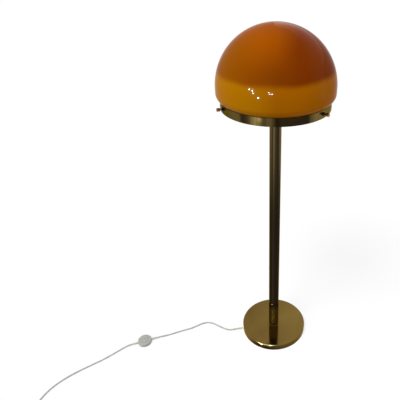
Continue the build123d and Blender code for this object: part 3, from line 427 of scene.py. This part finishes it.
# ---- Thumbscrews ------------------------------------------------------------------------------
# Three turned brass screws with fluted heads, in dark bushes. Each presses a nylon tip against
# the glass's neck.
SCREW_ANGLES = (202.5, 322.5, 82.5)
BUSH_OUT = 0.003
BUSH_FLANGE_R = 0.0062
BUSH_BODY_R = 0.004
SCREW_R = 0.0025
HEAD_R = 0.0055
HEAD_FROM_RING = 0.008
HEAD_L = 0.0105
HEAD_EDGE = 0.0008
THREAD_PITCH = 0.0008
THREAD_DEPTH = 0.00025
FLUTES = 18

screw_z = (ring_low.z + ring_high.z) / 2
bush_brass = plain_stuff("bush_brass", "3A2C1A", "21180F", 0.28, 1.0, 1200, 0.0001)
screw_brass = plain_stuff("thumbscrew_brass", "A0783F", "6E5230", 0.2, 1.0, 1400, 0.0001)


def stand_out(piece, angle, distance):
    """Lay a piece that was turned about Z along a level direction, at the screws' height."""
    piece.matrix_world = (Matrix.Rotation(radians(angle), 4, "Z")
                          @ Matrix.Translation((distance, 0, screw_z))
                          @ Matrix.Rotation(radians(90), 4, "Y"))
    bpy.ops.object.select_all(action="DESELECT")
    piece.select_set(True)
    bpy.context.view_layer.objects.active = piece
    bpy.ops.object.transform_apply(location=True, rotation=True, scale=True)


def fluted(piece, low, high, radius, depth, count):
    """Press flutes into a turned head: every other run of points round it is drawn in."""
    for point in piece.data.vertices:
        reach = sqrt(point.co.x**2 + point.co.y**2)
        if low < point.co.z < high and reach > radius * 0.95:
            turn = atan2(point.co.y, point.co.x) * count
            shrink = 1 - depth / reach * max(cos(turn), 0)
            point.co.x *= shrink
            point.co.y *= shrink


tip_out = 0.1738
shank_l = ring_r + HEAD_FROM_RING - tip_out - 0.002
for number, angle in enumerate(SCREW_ANGLES, start=1):
    thread = []
    for turn in range(int((shank_l - 0.006) / THREAD_PITCH)):
        foot = 0.0005 + turn * THREAD_PITCH
        thread += [(SCREW_R - THREAD_DEPTH, foot), (SCREW_R, foot + THREAD_PITCH / 2)]
    screw = turned(
        f"screw_{number}",
        [(0, 0), (SCREW_R - THREAD_DEPTH, 0)] + thread
        + [(SCREW_R, shank_l - 0.005), (SCREW_R, shank_l), (HEAD_R - HEAD_EDGE, shank_l),
           (HEAD_R, shank_l + HEAD_EDGE), (HEAD_R, shank_l + HEAD_L / 2),
           (HEAD_R, shank_l + HEAD_L - HEAD_EDGE), (HEAD_R - HEAD_EDGE, shank_l + HEAD_L),
           (HEAD_R * 0.45, shank_l + HEAD_L), (HEAD_R * 0.4, shank_l + HEAD_L - 0.0003), (0, shank_l + HEAD_L - 0.0003)],
        sides=4 * FLUTES, closed=False)
    fluted(screw, shank_l + HEAD_EDGE / 2, shank_l + HEAD_L - HEAD_EDGE / 2, HEAD_R, 0.0005, FLUTES)
    stand_out(screw, angle, tip_out + 0.002)
    dress(screw, f"thumbscrew_{number}", "thumbscrew_brass", screw_brass, f"thumbscrew_{number}")
    paint(nylon, f"thumbscrew_tip_{number}")

bushes = []
for angle in SCREW_ANGLES:
    bush = turned("bush", [
        (SCREW_R + 0.00005, -RING_WALL), (BUSH_BODY_R, -RING_WALL), (BUSH_BODY_R, 0), (BUSH_FLANGE_R, 0),
        (BUSH_FLANGE_R, BUSH_OUT - 0.0006), (BUSH_FLANGE_R - 0.0006, BUSH_OUT),
        (SCREW_R + 0.0006, BUSH_OUT), (SCREW_R + 0.00005, BUSH_OUT - 0.0005)], sides=48)
    stand_out(bush, angle, ring_r)
    bushes.append(bush)
bpy.ops.object.select_all(action="DESELECT")
for bush in bushes:
    bush.select_set(True)
bpy.context.view_layer.objects.active = bushes[0]
bpy.ops.object.join()
bushes = bpy.context.object
bushes.name = "band_bushes"
dress(bushes, "stand", "bush_brass", bush_brass, "screw_bushes")

# ---- Lampholder -------------------------------------------------------------------------------
# Black moulded E27 holder screwed on the tie rod: a cap, a threaded shell over its spigot, and a
# porcelain core inside that carries the brass sleeve and the spring contact.
HOLDER_RIBS = 30

holder_low, holder_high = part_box("holder_shell")
cap_low, cap_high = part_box("holder_cap")
shell_r = holder_high.x
sleeve_bore = 0.0141
black_plastic = plain_stuff("phenolic", "141210", "0E0D0C", 0.22, 0, 1000, 0.00008)
porcelain = plain_stuff("porcelain", "E2DED2", "D2CCBC", 0.4)
pressed_brass = plain_stuff("pressed_brass", "C79E4C", "A47F3A", 0.25, 1.0)
shell = turned(
    "lampholder_shell",
    [(shell_r - 0.002, holder_low.z), (shell_r, holder_low.z), (shell_r, holder_low.z + 0.004),
     (shell_r, holder_high.z - 0.006)]
    + arc_rings(shell_r - 0.002, holder_high.z - 0.002, 0.002, 0, 90, 6)
    + [(sleeve_bore, holder_high.z), (sleeve_bore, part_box("holder_core")[1].z + 0.0002),
       (shell_r - 0.002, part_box("holder_core")[1].z + 0.0002)],
    sides=4 * HOLDER_RIBS)
fluted(shell, holder_low.z + 0.003, holder_high.z - 0.005, shell_r, 0.0006, HOLDER_RIBS)
dress(shell, "stand", "phenolic", black_plastic, "holder_shell")
paint(black_plastic, "holder_cap")
paint(porcelain, "holder_core")
paint(zinc_steel, "terminal_screws")
paint(pressed_brass, "holder_sleeve", "holder_contact", "bulb_cap")

# ---- Bulb -------------------------------------------------------------------------------------
# Opal bulb: a thin blown envelope cemented into a rolled brass cap.
bulb_low, bulb_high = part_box("bulb_glass")
bulb_r = bulb_high.x
bulb_middle = bulb_high.z - bulb_r
opal = plain_stuff("bulb_opal", "EDEAE0", "E6E2D6", 0.16, 0, 500, 0.00002)
envelope = turned(
    "bulb",
    [(0, bulb_low.z), (0.0123, bulb_low.z), (0.0123, bulb_low.z + 0.02), (0.0138, bulb_low.z + 0.0265),
     (0.0176, bulb_low.z + 0.0345)]
    + arc_rings(0, bulb_middle, bulb_r, -40, 90, 24),
    sides=96, closed=False)
dress(envelope, "stand", "opal_bulb", opal, "bulb_glass")

# ---- Glass shade ------------------------------------------------------------------------------
# Blown dome of cased glass, amber outside and opal white inside, with a straight neck that
# stands in the band. A second, browner gather covers the crown. The crown is painted paler
# towards the top, a painted light from above. Each amber tone changes from left to right,
# lighter on the left: painted light, shade and reflection.
GLASS_WALL = 0.003
GLASS_BAND_H = 0.0135
BULGE_R = 0.027
COVE_R = 0.004
NECK_GAP = 0.0025
CROWN_TINT_Z = 1.106
TINT_BLUR = 0.011
# Tones of the amber by place along X; their change from left to right is painted light, shade and reflection
LOW_TONES = ((-0.15, "AF7000"), (-0.06, "A66A00"), (0.0, "A05C00"), (0.06, "A96000"), (0.15, "A96200"))
DARK_CROWN_TONES = ((-0.15, "925000"), (-0.07, "884400"), (0.0, "7C3900"), (0.08, "7C3200"), (0.15, "7C3400"))
PALE_CROWN_TONES = ((-0.15, "945200"), (-0.05, "A25000"), (0.0, "9C4A00"), (0.06, "7C3200"), (0.15, "7C3802"))

glass_low, glass_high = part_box("glass_shade")
neck_r = ring_r - RING_WALL - NECK_GAP
glass_r = glass_high.x
dome_z = glass_high.z - glass_r
bulge_z = dome_z - GLASS_BAND_H
cove_dx = neck_r + COVE_R - glass_r + BULGE_R
cove_dz = sqrt((COVE_R + BULGE_R) ** 2 - cove_dx**2)
cove_turn = degrees(asin(cove_dz / (COVE_R + BULGE_R)))
cove_z = bulge_z - cove_dz


def glass_rings(inset):
    """Profile of the glass from its neck to its crown, at a depth under the outer surface."""
    return ([(neck_r - inset, glass_low.z)]
            + arc_rings(neck_r + COVE_R, cove_z, COVE_R + inset, 180, 180 - cove_turn, 6)
            + arc_rings(glass_r - BULGE_R, bulge_z, BULGE_R - inset, -cove_turn, 0, 12)[1:]
            + arc_rings(0, dome_z, glass_r - inset, 0, 90, 40))


def two_tones(tree, factor, first, second):
    """Mix of two amber tones, each a colour code or another mix."""
    mix = put(tree, "ShaderNodeMix", (factor, "Factor"), data_type="RGBA")
    for socket, tone in (("A", first), ("B", second)):
        if isinstance(tone, str):
            mix.inputs[socket].default_value = linear(tone)
        else:
            tree.links.new(tone, mix.inputs[socket])
    return mix.outputs["Result"]


amber, tree, shader = finish_of("amber_glass", "A86A08", 0.075, Specular_IOR_Level=0.012)
place = put(tree, "ShaderNodeTexCoord").outputs["Object"]
axes = put(tree, "ShaderNodeSeparateXYZ", (place, "Vector"))
wander = put(tree, "ShaderNodeTexNoise", (place, "Vector"), Scale=6, Detail=2)
drift = put(tree, "ShaderNodeMath", (wander.outputs["Fac"], 0), operation="SUBTRACT")
drift.inputs[1].default_value = 0.5
level = put(tree, "ShaderNodeMath", (drift.outputs["Value"], 0), (axes.outputs["Z"], 2),
            operation="MULTIPLY_ADD")
level.inputs[1].default_value = 0.024
side = put(tree, "ShaderNodeMath", (drift.outputs["Value"], 0), (axes.outputs["X"], 2),
           operation="MULTIPLY_ADD")
side.inputs[1].default_value = 0.05


def rise_of(value, start, end):
    """Smooth rise from 0 to 1 between two places along an axis."""
    span = put(tree, "ShaderNodeMapRange", (value, "Value"), interpolation_type="SMOOTHSTEP",
               From_Min=start, From_Max=end)
    return span.outputs["Result"]


def tones_across(name, tones):
    """Amber tones from left to right, as pairs of a place along X and a colour code; the change
    across is painted light, shade and reflection.
    """
    span = put(tree, "ShaderNodeMapRange", (side.outputs["Value"], "Value"),
               From_Min=-glass_r, From_Max=glass_r)
    ramp = put(tree, "ShaderNodeValToRGB", (span.outputs["Result"], "Fac"), name=name)
    stops = ramp.color_ramp.elements
    for place_x, tone in tones:
        stops.new((place_x + glass_r) / (2 * glass_r)).color = linear(tone)
    stops.remove(stops[0])
    stops.remove(stops[-1])
    return ramp.outputs["Color"]


# The browner gather starts at CROWN_TINT_Z; from 1.125 m up, the crown is painted paler, a painted light from above
crown = rise_of(level.outputs["Value"], CROWN_TINT_Z - TINT_BLUR, CROWN_TINT_Z + TINT_BLUR)
painted_top_light = rise_of(level.outputs["Value"], 1.125, 1.225)
low_amber = tones_across("low_amber", LOW_TONES)
dark_crown = tones_across("dark_crown", DARK_CROWN_TONES)
pale_crown = tones_across("pale_crown", PALE_CROWN_TONES)
high_amber = two_tones(tree, painted_top_light, dark_crown, pale_crown)
both = two_tones(tree, crown, low_amber, high_amber)
tree.links.new(both, shader.inputs["Base Color"])

opal_lining = plain_stuff("opal_lining", "EFE9DA", "E6DDC8", 0.12, 0, 300, 0.00002)
glass = turned("glass_dome", glass_rings(0) + glass_rings(GLASS_WALL)[::-1], sides=160)
dress(glass, "shade", "amber_glass", amber, "glass_shade")
glass.data.materials.append(opal_lining)
for face in glass.data.polygons:
    outward = face.center - Vector((0, 0, max(dome_z, 0) if face.center.z > dome_z else face.center.z))
    face.material_index = 1 if face.normal.dot(outward) < 0 else 0

# ---- Cord -------------------------------------------------------------------------------------
# Thin pale two-core lead. It leaves the foot through a tapered sleeve, wanders over the floor
# to the switch, and on out of the picture to a tied coil and the plug.
CORD_D = 0.0056
BOOT_L = 0.022
FLOOR_Z = CORD_D / 2
EXIT_ANGLE = 190
EXIT_Z = 0.008
EXIT_RUN = 0.013
SWITCH_CENTRE = Vector((-0.531, -0.090, 0))
SWITCH_ANGLE = 200
SWITCH_R = 0.027
SWITCH_Z = 0.0065
SWITCH_RUN = 0.015
COIL_INNER_R = 0.0224
COIL_PITCH = 0.0062
COIL_RUN_TURNS = 3.25
COIL_CLIMB_TURNS = 0.5
COIL_RUN = 0.022
COIL_TURN_STEPS = 24
COIL_X = -0.856
COIL_Y = -0.418
COIL_Z = 0.0039
TAIL_RUN = 0.009
TAIL_L = 0.034
TAIL_SIDE = 0.003
PLUG_Z = 0.00685
UP = Vector((0, 0, 1))


def heading(angle):
    """Level direction at an angle from +X."""
    return Vector((cos(radians(angle)), sin(radians(angle)), 0))


def cord_along(name, points, diameter=CORD_D):
    """Smooth cord or wire on a route: one open NURBS spline, with a round section."""
    curve = bpy.data.curves.new(name, "CURVE")
    curve.dimensions = "3D"
    spline = curve.splines.new("NURBS")
    spline.points.add(len(points) - 1)
    for control, point in zip(spline.points, points):
        control.co = (*point, 1)
    spline.order_u = 3
    spline.use_endpoint_u = True
    spline.resolution_u = 8
    curve.bevel_depth = diameter / 2
    curve.bevel_resolution = 5
    curve.use_fill_caps = True
    cord = bpy.data.objects.new(name, curve)
    bpy.context.scene.collection.objects.link(cord)
    return cord


exit_dir = heading(EXIT_ANGLE)
switch_dir = heading(SWITCH_ANGLE)
entry = SWITCH_CENTRE + UP * SWITCH_Z
boot_reach = SWITCH_R + BOOT_L
foot_r = 0.130
mouth = exit_dir * (foot_r + BOOT_L) + UP * EXIT_Z
lamp_side = cord_along("lamp_cord", [
    mouth,
    mouth + exit_dir * EXIT_RUN,
    Vector((-0.181, -0.0305, 0.0032)),
    Vector((-0.206, -0.0245, FLOOR_Z)),
    Vector((-0.234, -0.008, FLOOR_Z)),
    Vector((-0.262, 0.0075, FLOOR_Z)),
    Vector((-0.284, 0.0125, FLOOR_Z)),
    Vector((-0.306, 0.0065, FLOOR_Z)),
    Vector((-0.330, -0.009, FLOOR_Z)),
    Vector((-0.354, -0.0225, FLOOR_Z)),
    Vector((-0.383, -0.0325, FLOOR_Z)),
    Vector((-0.415, -0.0455, FLOOR_Z)),
    Vector((-0.444, -0.0585, FLOOR_Z + 0.0004)),
    entry - switch_dir * (boot_reach + SWITCH_RUN),
    entry - switch_dir * boot_reach,
])

coil_outer_r = COIL_INNER_R + COIL_PITCH * COIL_RUN_TURNS
coil_turns = 2 * COIL_RUN_TURNS + COIL_CLIMB_TURNS
coil_centre = Vector((COIL_X - coil_outer_r, COIL_Y, COIL_Z))


def coil_at(turns):
    """Point of the piled coil: it spirals in on the floor, climbs a layer, and spirals out."""
    climb = min(max((turns - COIL_RUN_TURNS) / COIL_CLIMB_TURNS, 0), 1)
    if turns <= COIL_RUN_TURNS:
        radius = coil_outer_r - COIL_PITCH * turns
    elif climb < 1:
        radius = COIL_INNER_R - COIL_PITCH * COIL_CLIMB_TURNS * (climb - climb**2)
    else:
        radius = COIL_INNER_R + COIL_PITCH * (turns - COIL_RUN_TURNS - COIL_CLIMB_TURNS)
    angle = 2 * pi * turns
    return (coil_centre + Vector((cos(angle), -sin(angle), 0)) * radius
            + UP * (COIL_PITCH * (1 - cos(pi * climb)) / 2))


steps = round(coil_turns * COIL_TURN_STEPS)
coil_points = [coil_at(step / COIL_TURN_STEPS) for step in range(steps + 1)]
coil_start_dir = (coil_points[1] - coil_points[0]).normalized()
coil_start_dir = (coil_at(0.001) - coil_at(0)).normalized()
coil_end_dir = (coil_at(coil_turns) - coil_at(coil_turns - 0.001)).normalized()
coil_mouth = coil_points[0] - coil_start_dir * CORD_D
tail_start = coil_points[-1] + coil_end_dir * CORD_D
boot_mouth = Vector((tail_start.x + TAIL_SIDE, tail_start.y - TAIL_L, PLUG_Z))
plug_side = cord_along("plug_cord", [
    entry + switch_dir * boot_reach,
    entry + switch_dir * (boot_reach + SWITCH_RUN),
    Vector((-0.613, -0.125, 0.0032)),
    Vector((-0.640, -0.1495, FLOOR_Z)),
    Vector((-0.673, -0.1775, FLOOR_Z)),
    Vector((-0.710, -0.2025, FLOOR_Z)),
    Vector((-0.746, -0.227, FLOOR_Z)),
    Vector((-0.776, -0.250, FLOOR_Z)),
    Vector((-0.803, -0.2755, FLOOR_Z)),
    Vector((-0.825, -0.302, FLOOR_Z)),
    Vector((-0.841, -0.332, FLOOR_Z)),
    Vector((-0.850, -0.364, FLOOR_Z + 0.0003)),
    coil_mouth - coil_start_dir * COIL_RUN,
    coil_mouth,
] + coil_points + [
    tail_start,
    tail_start + coil_end_dir * TAIL_RUN,
    boot_mouth + Vector((0, TAIL_RUN, 0)),
    boot_mouth,
])
for piece, nodes in ((lamp_side, ["cord_lamp_side"]), (plug_side, ["cord_plug_side", "cord_coil", "cord_tail"])):
    dress(piece, "stand", "cord_plastic", sheath, *nodes)

# ---- Sleeves ----------------------------------------------------------------------------------
# Tapered rubber sleeves with cut grooves, where the cord leaves the foot, enters and leaves the
# switch, and enters the plug.
sleeve_rubber = plain_stuff("sleeve_rubber", "CBC9C2", "BDBBB3", 0.55)
BOOT_ROOT_R = 0.0046
BOOT_END_R = 0.0034
GROOVES = 5


def sleeve(name, start, direction):
    """Tapered sleeve from its housing outwards, grooved so that it bends."""
    rings = [(CORD_D / 2, 0), (BOOT_ROOT_R, 0)]
    for groove in range(GROOVES):
        at = BOOT_L * (0.15 + 0.8 * groove / GROOVES)
        radius = BOOT_ROOT_R + (BOOT_END_R - BOOT_ROOT_R) * at / BOOT_L
        rings += [(radius, at), (radius - 0.0006, at + 0.0005), (radius - 0.0006, at + 0.0014), (radius, at + 0.0019)]
    rings += [(BOOT_END_R, BOOT_L - 0.0006), (BOOT_END_R - 0.0005, BOOT_L), (CORD_D / 2, BOOT_L)]
    piece = turned(name, rings, sides=40)
    piece.matrix_world = Matrix.Translation(start) @ direction.to_track_quat("Z", "Y").to_matrix().to_4x4()
    bpy.ops.object.select_all(action="DESELECT")
    piece.select_set(True)
    bpy.context.view_layer.objects.active = piece
    bpy.ops.object.transform_apply(location=True, rotation=True, scale=True)
    return piece


foot_sleeve = sleeve("foot_sleeve", exit_dir * foot_r + UP * EXIT_Z, exit_dir)
dress(foot_sleeve, "stand", "sleeve_rubber", sleeve_rubber, "cord_grommet")
switch_sleeve_in = sleeve("switch_sleeve_in", entry - switch_dir * SWITCH_R, -switch_dir)
dress(switch_sleeve_in, "stand", "sleeve_rubber", sleeve_rubber, "switch_sleeves")
switch_sleeve_out = sleeve("switch_sleeve_out", entry + switch_dir * SWITCH_R, switch_dir)
dress(switch_sleeve_out, "stand", "sleeve_rubber", sleeve_rubber, "switch_sleeves")
plug_back = boot_mouth + Vector((0, -BOOT_L, 0))
plug_sleeve = sleeve("plug_boot", plug_back, Vector((0, 1, 0)))
dress(plug_sleeve, "stand", "sleeve_rubber", sleeve_rubber, "plug_sleeve")
paint(sheath, "switch_leads")

# ---- Foot switch ------------------------------------------------------------------------------
# Round two-part moulded housing, screwed together from below, with a broad foot button that a
# spring lifts off the contact block.
switch_plastic = plain_stuff("switch_plastic", "B4B4AE", "A8A8A2", 0.38, 0, 700, 0.00015)
SWITCH_H = 0.0145
BUTTON_R = 0.015
BUTTON_SKIRT_R = 0.0175
BUTTON_INNER_R = 0.0134
BUTTON_ROOF_Z = 0.0149
SKIRT_LOW = 0.0112
SKIRT_HIGH = 0.0124
POST_R = 0.0026
PIP_R = 0.0022
PIP_FLOOR_Z = 0.016
SPRING_R = 0.004
SPRING_WIRE_D = 0.0008
SPRING_TURNS = 3
SPRING_STEPS = 16


def on_switch(piece):
    """Move a piece turned about Z to the switch's axis."""
    piece.matrix_world = Matrix.Translation(SWITCH_CENTRE)
    bpy.ops.object.select_all(action="DESELECT")
    piece.select_set(True)
    bpy.context.view_layer.objects.active = piece
    bpy.ops.object.transform_apply(location=True, rotation=True, scale=True)


under = turned(
    "switch_lower",
    [(0, 0)] + arc_rings(SWITCH_R - 0.0008, 0.0008, 0.0008, -90, 0, 4)
    + [(SWITCH_R, SWITCH_Z - 0.0003), (SWITCH_R - 0.0003, SWITCH_Z), (SWITCH_R - 0.002, SWITCH_Z),
       (SWITCH_R - 0.002, 0.002), (0, 0.002)],
    sides=96, closed=False)
on_switch(under)
dress(under, "stand", "switch_plastic", switch_plastic, "switch_base")
over = turned(
    "switch_upper",
    [(SWITCH_R - 0.002, SWITCH_Z), (SWITCH_R - 0.0003, SWITCH_Z), (SWITCH_R, SWITCH_Z + 0.0003)]
    + arc_rings(SWITCH_R - 0.0025, SWITCH_H - 0.0025, 0.0025, 0, 90, 8)
    + [(BUTTON_R + 0.0006, SWITCH_H), (BUTTON_R + 0.0001, SWITCH_H - 0.0005), (BUTTON_R + 0.0001, SWITCH_H - 0.002),
       (SWITCH_R - 0.002, SWITCH_H - 0.002)],
    sides=96)
on_switch(over)
dress(over, "stand", "switch_plastic", switch_plastic, "switch_top")
button = turned(
    "foot_button",
    [(0, SKIRT_HIGH), (POST_R, SKIRT_HIGH), (POST_R, BUTTON_ROOF_Z), (BUTTON_INNER_R, BUTTON_ROOF_Z),
     (BUTTON_INNER_R, SKIRT_LOW), (BUTTON_SKIRT_R, SKIRT_LOW), (BUTTON_SKIRT_R, SKIRT_HIGH),
     (BUTTON_R, SKIRT_HIGH)]
    + arc_rings(BUTTON_R - 0.001, 0.0155, 0.001, 0, 90, 5)
    + [(0.006, 0.0171), (PIP_R, 0.0173), (PIP_R, PIP_FLOOR_Z), (0, PIP_FLOOR_Z)],
    sides=96, closed=False)
on_switch(button)
dress(button, "switch_button", "switch_plastic", switch_plastic, "switch_button")
paint(switch_plastic, "switch_block")
paint(zinc_steel, "switch_screws")

# Return spring, which shortens as the button goes down
spring_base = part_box("switch_block")[1].z
spring_low = spring_base + SPRING_WIRE_D / 2
spring_rise = BUTTON_ROOF_Z - SPRING_WIRE_D / 2 - spring_low
spring_steps = SPRING_TURNS * SPRING_STEPS
spring = cord_along("return_spring", [
    SWITCH_CENTRE + heading(360 * step / SPRING_STEPS) * SPRING_R
    + UP * (spring_low + spring_rise * step / spring_steps)
    for step in range(spring_steps + 1)], SPRING_WIRE_D)
bpy.ops.object.select_all(action="DESELECT")
spring.select_set(True)
bpy.context.view_layer.objects.active = spring
bpy.ops.object.convert(target="MESH")
dress(spring, "stand", "spring_steel", zinc_steel, "switch_spring")
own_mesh(spring)

# ---- Coil tie and plug ------------------------------------------------------------------------
# Nylon strap round the put-away coil, and a flat two-pin plug moulded on the cord's end.
paint(nylon, "coil_tie")
plug_plastic = plain_stuff("plug_plastic", "B6B5AF", "A6A59F", 0.42, 0, 800, 0.00015)
nickel = plain_stuff("nickel", "CFCDC4", "B4B2A8", 0.2, 1.0)
paint(plug_plastic, "plug_body")
paint(nickel, "plug_pins")

# ---- Room -------------------------------------------------------------------------------------
# Wide pale floor under an even white sky, with a soft light from the left and a weaker one from
# the right. The floor is white to the camera and keeps the lamp's shadow.
bpy.ops.object.select_all(action="DESELECT")
bpy.ops.mesh.primitive_circle_add(vertices=64, radius=60, fill_type="NGON")
floor = bpy.context.object
floor.name = "floor"
floor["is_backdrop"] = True


def seen_directly(tree):
    """1 for rays that the camera, a gloss or a glass sends, and 0 for the light itself."""
    rays = put(tree, "ShaderNodeLightPath")
    first = put(tree, "ShaderNodeMath", (rays.outputs["Is Camera Ray"], 0),
                (rays.outputs["Is Glossy Ray"], 1), operation="MAXIMUM")
    both = put(tree, "ShaderNodeMath", (first.outputs["Value"], 0),
               (rays.outputs["Is Transmission Ray"], 1), operation="MAXIMUM")
    return both.outputs["Value"]


floor_paint = bpy.data.materials.new("floor_paint")
floor_paint.use_nodes = True
tree = floor_paint.node_tree
tree.nodes.clear()
matt = put(tree, "ShaderNodeBsdfDiffuse", Color=(0.5, 0.5, 0.5, 1))
white = put(tree, "ShaderNodeEmission", Color=(0.76, 0.76, 0.76, 1), Strength=1.0)
shaded = put(tree, "ShaderNodeBsdfDiffuse", Color=(0.25, 0.25, 0.25, 1))
white_shaded = put(tree, "ShaderNodeAddShader", (white.outputs["Emission"], 0), (shaded.outputs["BSDF"], 1))
floor_mix = put(tree, "ShaderNodeMixShader", (seen_directly(tree), 0), (matt.outputs["BSDF"], 1),
                (white_shaded.outputs["Shader"], 2))
put(tree, "ShaderNodeOutputMaterial", (floor_mix.outputs["Shader"], "Surface"))
floor.data.materials.append(floor_paint)

world = bpy.data.worlds.new("sky")
bpy.context.scene.world = world
world.use_nodes = True
tree = world.node_tree
tree.nodes.clear()
light_sky = put(tree, "ShaderNodeBackground", Color=(1, 1, 1, 1), Strength=0.32)
white_sky = put(tree, "ShaderNodeBackground", Color=(1, 1, 1, 1), Strength=1.0)
sky_mix = put(tree, "ShaderNodeMixShader", (seen_directly(tree), 0), (light_sky.outputs["Background"], 1),
              (white_sky.outputs["Background"], 2))
put(tree, "ShaderNodeOutputWorld", (sky_mix.outputs["Shader"], "Surface"))


def lamp_of(kind, name, place, target=(0, 0, 1.0), **settings):
    """Lamp of a kind, at a place and aimed at a target."""
    light = bpy.data.lights.new(name, kind)
    for setting, value in settings.items():
        setattr(light, setting, value)
    lamp = bpy.data.objects.new(name, light)
    bpy.context.scene.collection.objects.link(lamp)
    lamp.location = place
    lamp.rotation_euler = (Vector(target) - Vector(place)).to_track_quat("-Z", "Y").to_euler()
    return lamp


# Large soft lights, too even to show in the glass or the brass
for name, place, strength, spread in (
        ("soft_top", (-1.05, -1.2, 3.55), 2.0, 24),
        ("soft_left", (-2.6, -1.4, 1.75), 0.75, 40),
        ("soft_right", (2.6, -1.6, 1.8), 0.4, 40),
        ("soft_rear", (2.4, 1.5, 2.05), 0.5, 40)):
    soft = lamp_of("SUN", name, place, energy=strength, angle=radians(spread))
    soft.visible_glossy = False

def glint_on(name, pieces, place, target, **settings):
    """Lamp that shows only as a reflection, in the named pieces alone."""
    lamp = lamp_of("AREA", name, place, target, **settings)
    lamp.visible_diffuse = False
    receivers = bpy.data.collections.new(name + "_receivers")
    for piece in pieces:
        receivers.objects.link(piece)
    lamp.light_linking.receiver_collection = receivers


# Ceiling spots as points of light in the glass and in the foot's edge
for number, place in enumerate((
        (-2.05, -1.84, 1.37), (-1.86, -2.04, 1.35), (-1.81, -2.10, 1.14),
        (-1.43, -2.37, 0.83), (-0.59, -2.72, 1.25), (-0.39, -2.76, 1.22)), start=1):
    glint_on(f"glass_spot_{number}", [glass], place, (0, 0, 1.0), shape="DISK", size=0.05,
             energy=90 if number < 5 else 65)
    glint_on(f"foot_spot_{number}", [foot_cover], place, (0, 0, 0), shape="DISK", size=0.05,
             energy=500, color=(0.4, 0.6, 1.0))

# Tall slit of light, as a streak in the glass and in the brass
SLIT = {"shape": "RECTANGLE", "size": 0.04, "size_y": 0.72}
glint_on("glass_slit", [glass], (-1.45, -2.35, 0.38), (0, 0, 0.38), energy=12, **SLIT)
glint_on("brass_slit", [ring, stem], (-1.45, -2.35, 0.38), (0, 0, 0.38), energy=2, **SLIT)

# Pale wall at the right, behind, as a veil over the glass's right side
WALL_ANGLE = 40
WALL_AWAY = 2.5
WALL_LEVEL = 1.4
wall_dir = heading(WALL_ANGLE)
wall_side = heading(WALL_ANGLE - 90)
for name, first, last, low, high in (("wall_high", -2.98, 4.5, 1.9, 4.0), ("wall_low", 1.56, 4.5, 0.05, 1.9)):
    width, height = last - first, high - low
    middle = wall_dir * WALL_AWAY + wall_side * (first + last) / 2 + UP * (low + high) / 2
    glint_on(name, [glass], middle, middle - wall_dir, shape="RECTANGLE", size=width, size_y=height,
             energy=WALL_LEVEL * pi * width * height)

# ---- Camera -----------------------------------------------------------------------------------
# Level with the top of the shade and looking down, its lens shifted so that the lamp stands
# right of the middle.
camera_data = bpy.data.cameras.new("camera")
camera_data.sensor_width = 36
camera_data.lens = 39.6
camera_data.shift_x = -0.16825
camera_data.shift_y = -0.045
camera = bpy.data.objects.new("camera", camera_data)
bpy.context.scene.collection.objects.link(camera)
camera.location = (-0.02702, -1.34346, 1.47073)
camera.rotation_euler = (radians(60.4146), 0, 0)
bpy.context.scene.camera = camera
bpy.context.scene.view_settings.view_transform = "Standard"

low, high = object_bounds()
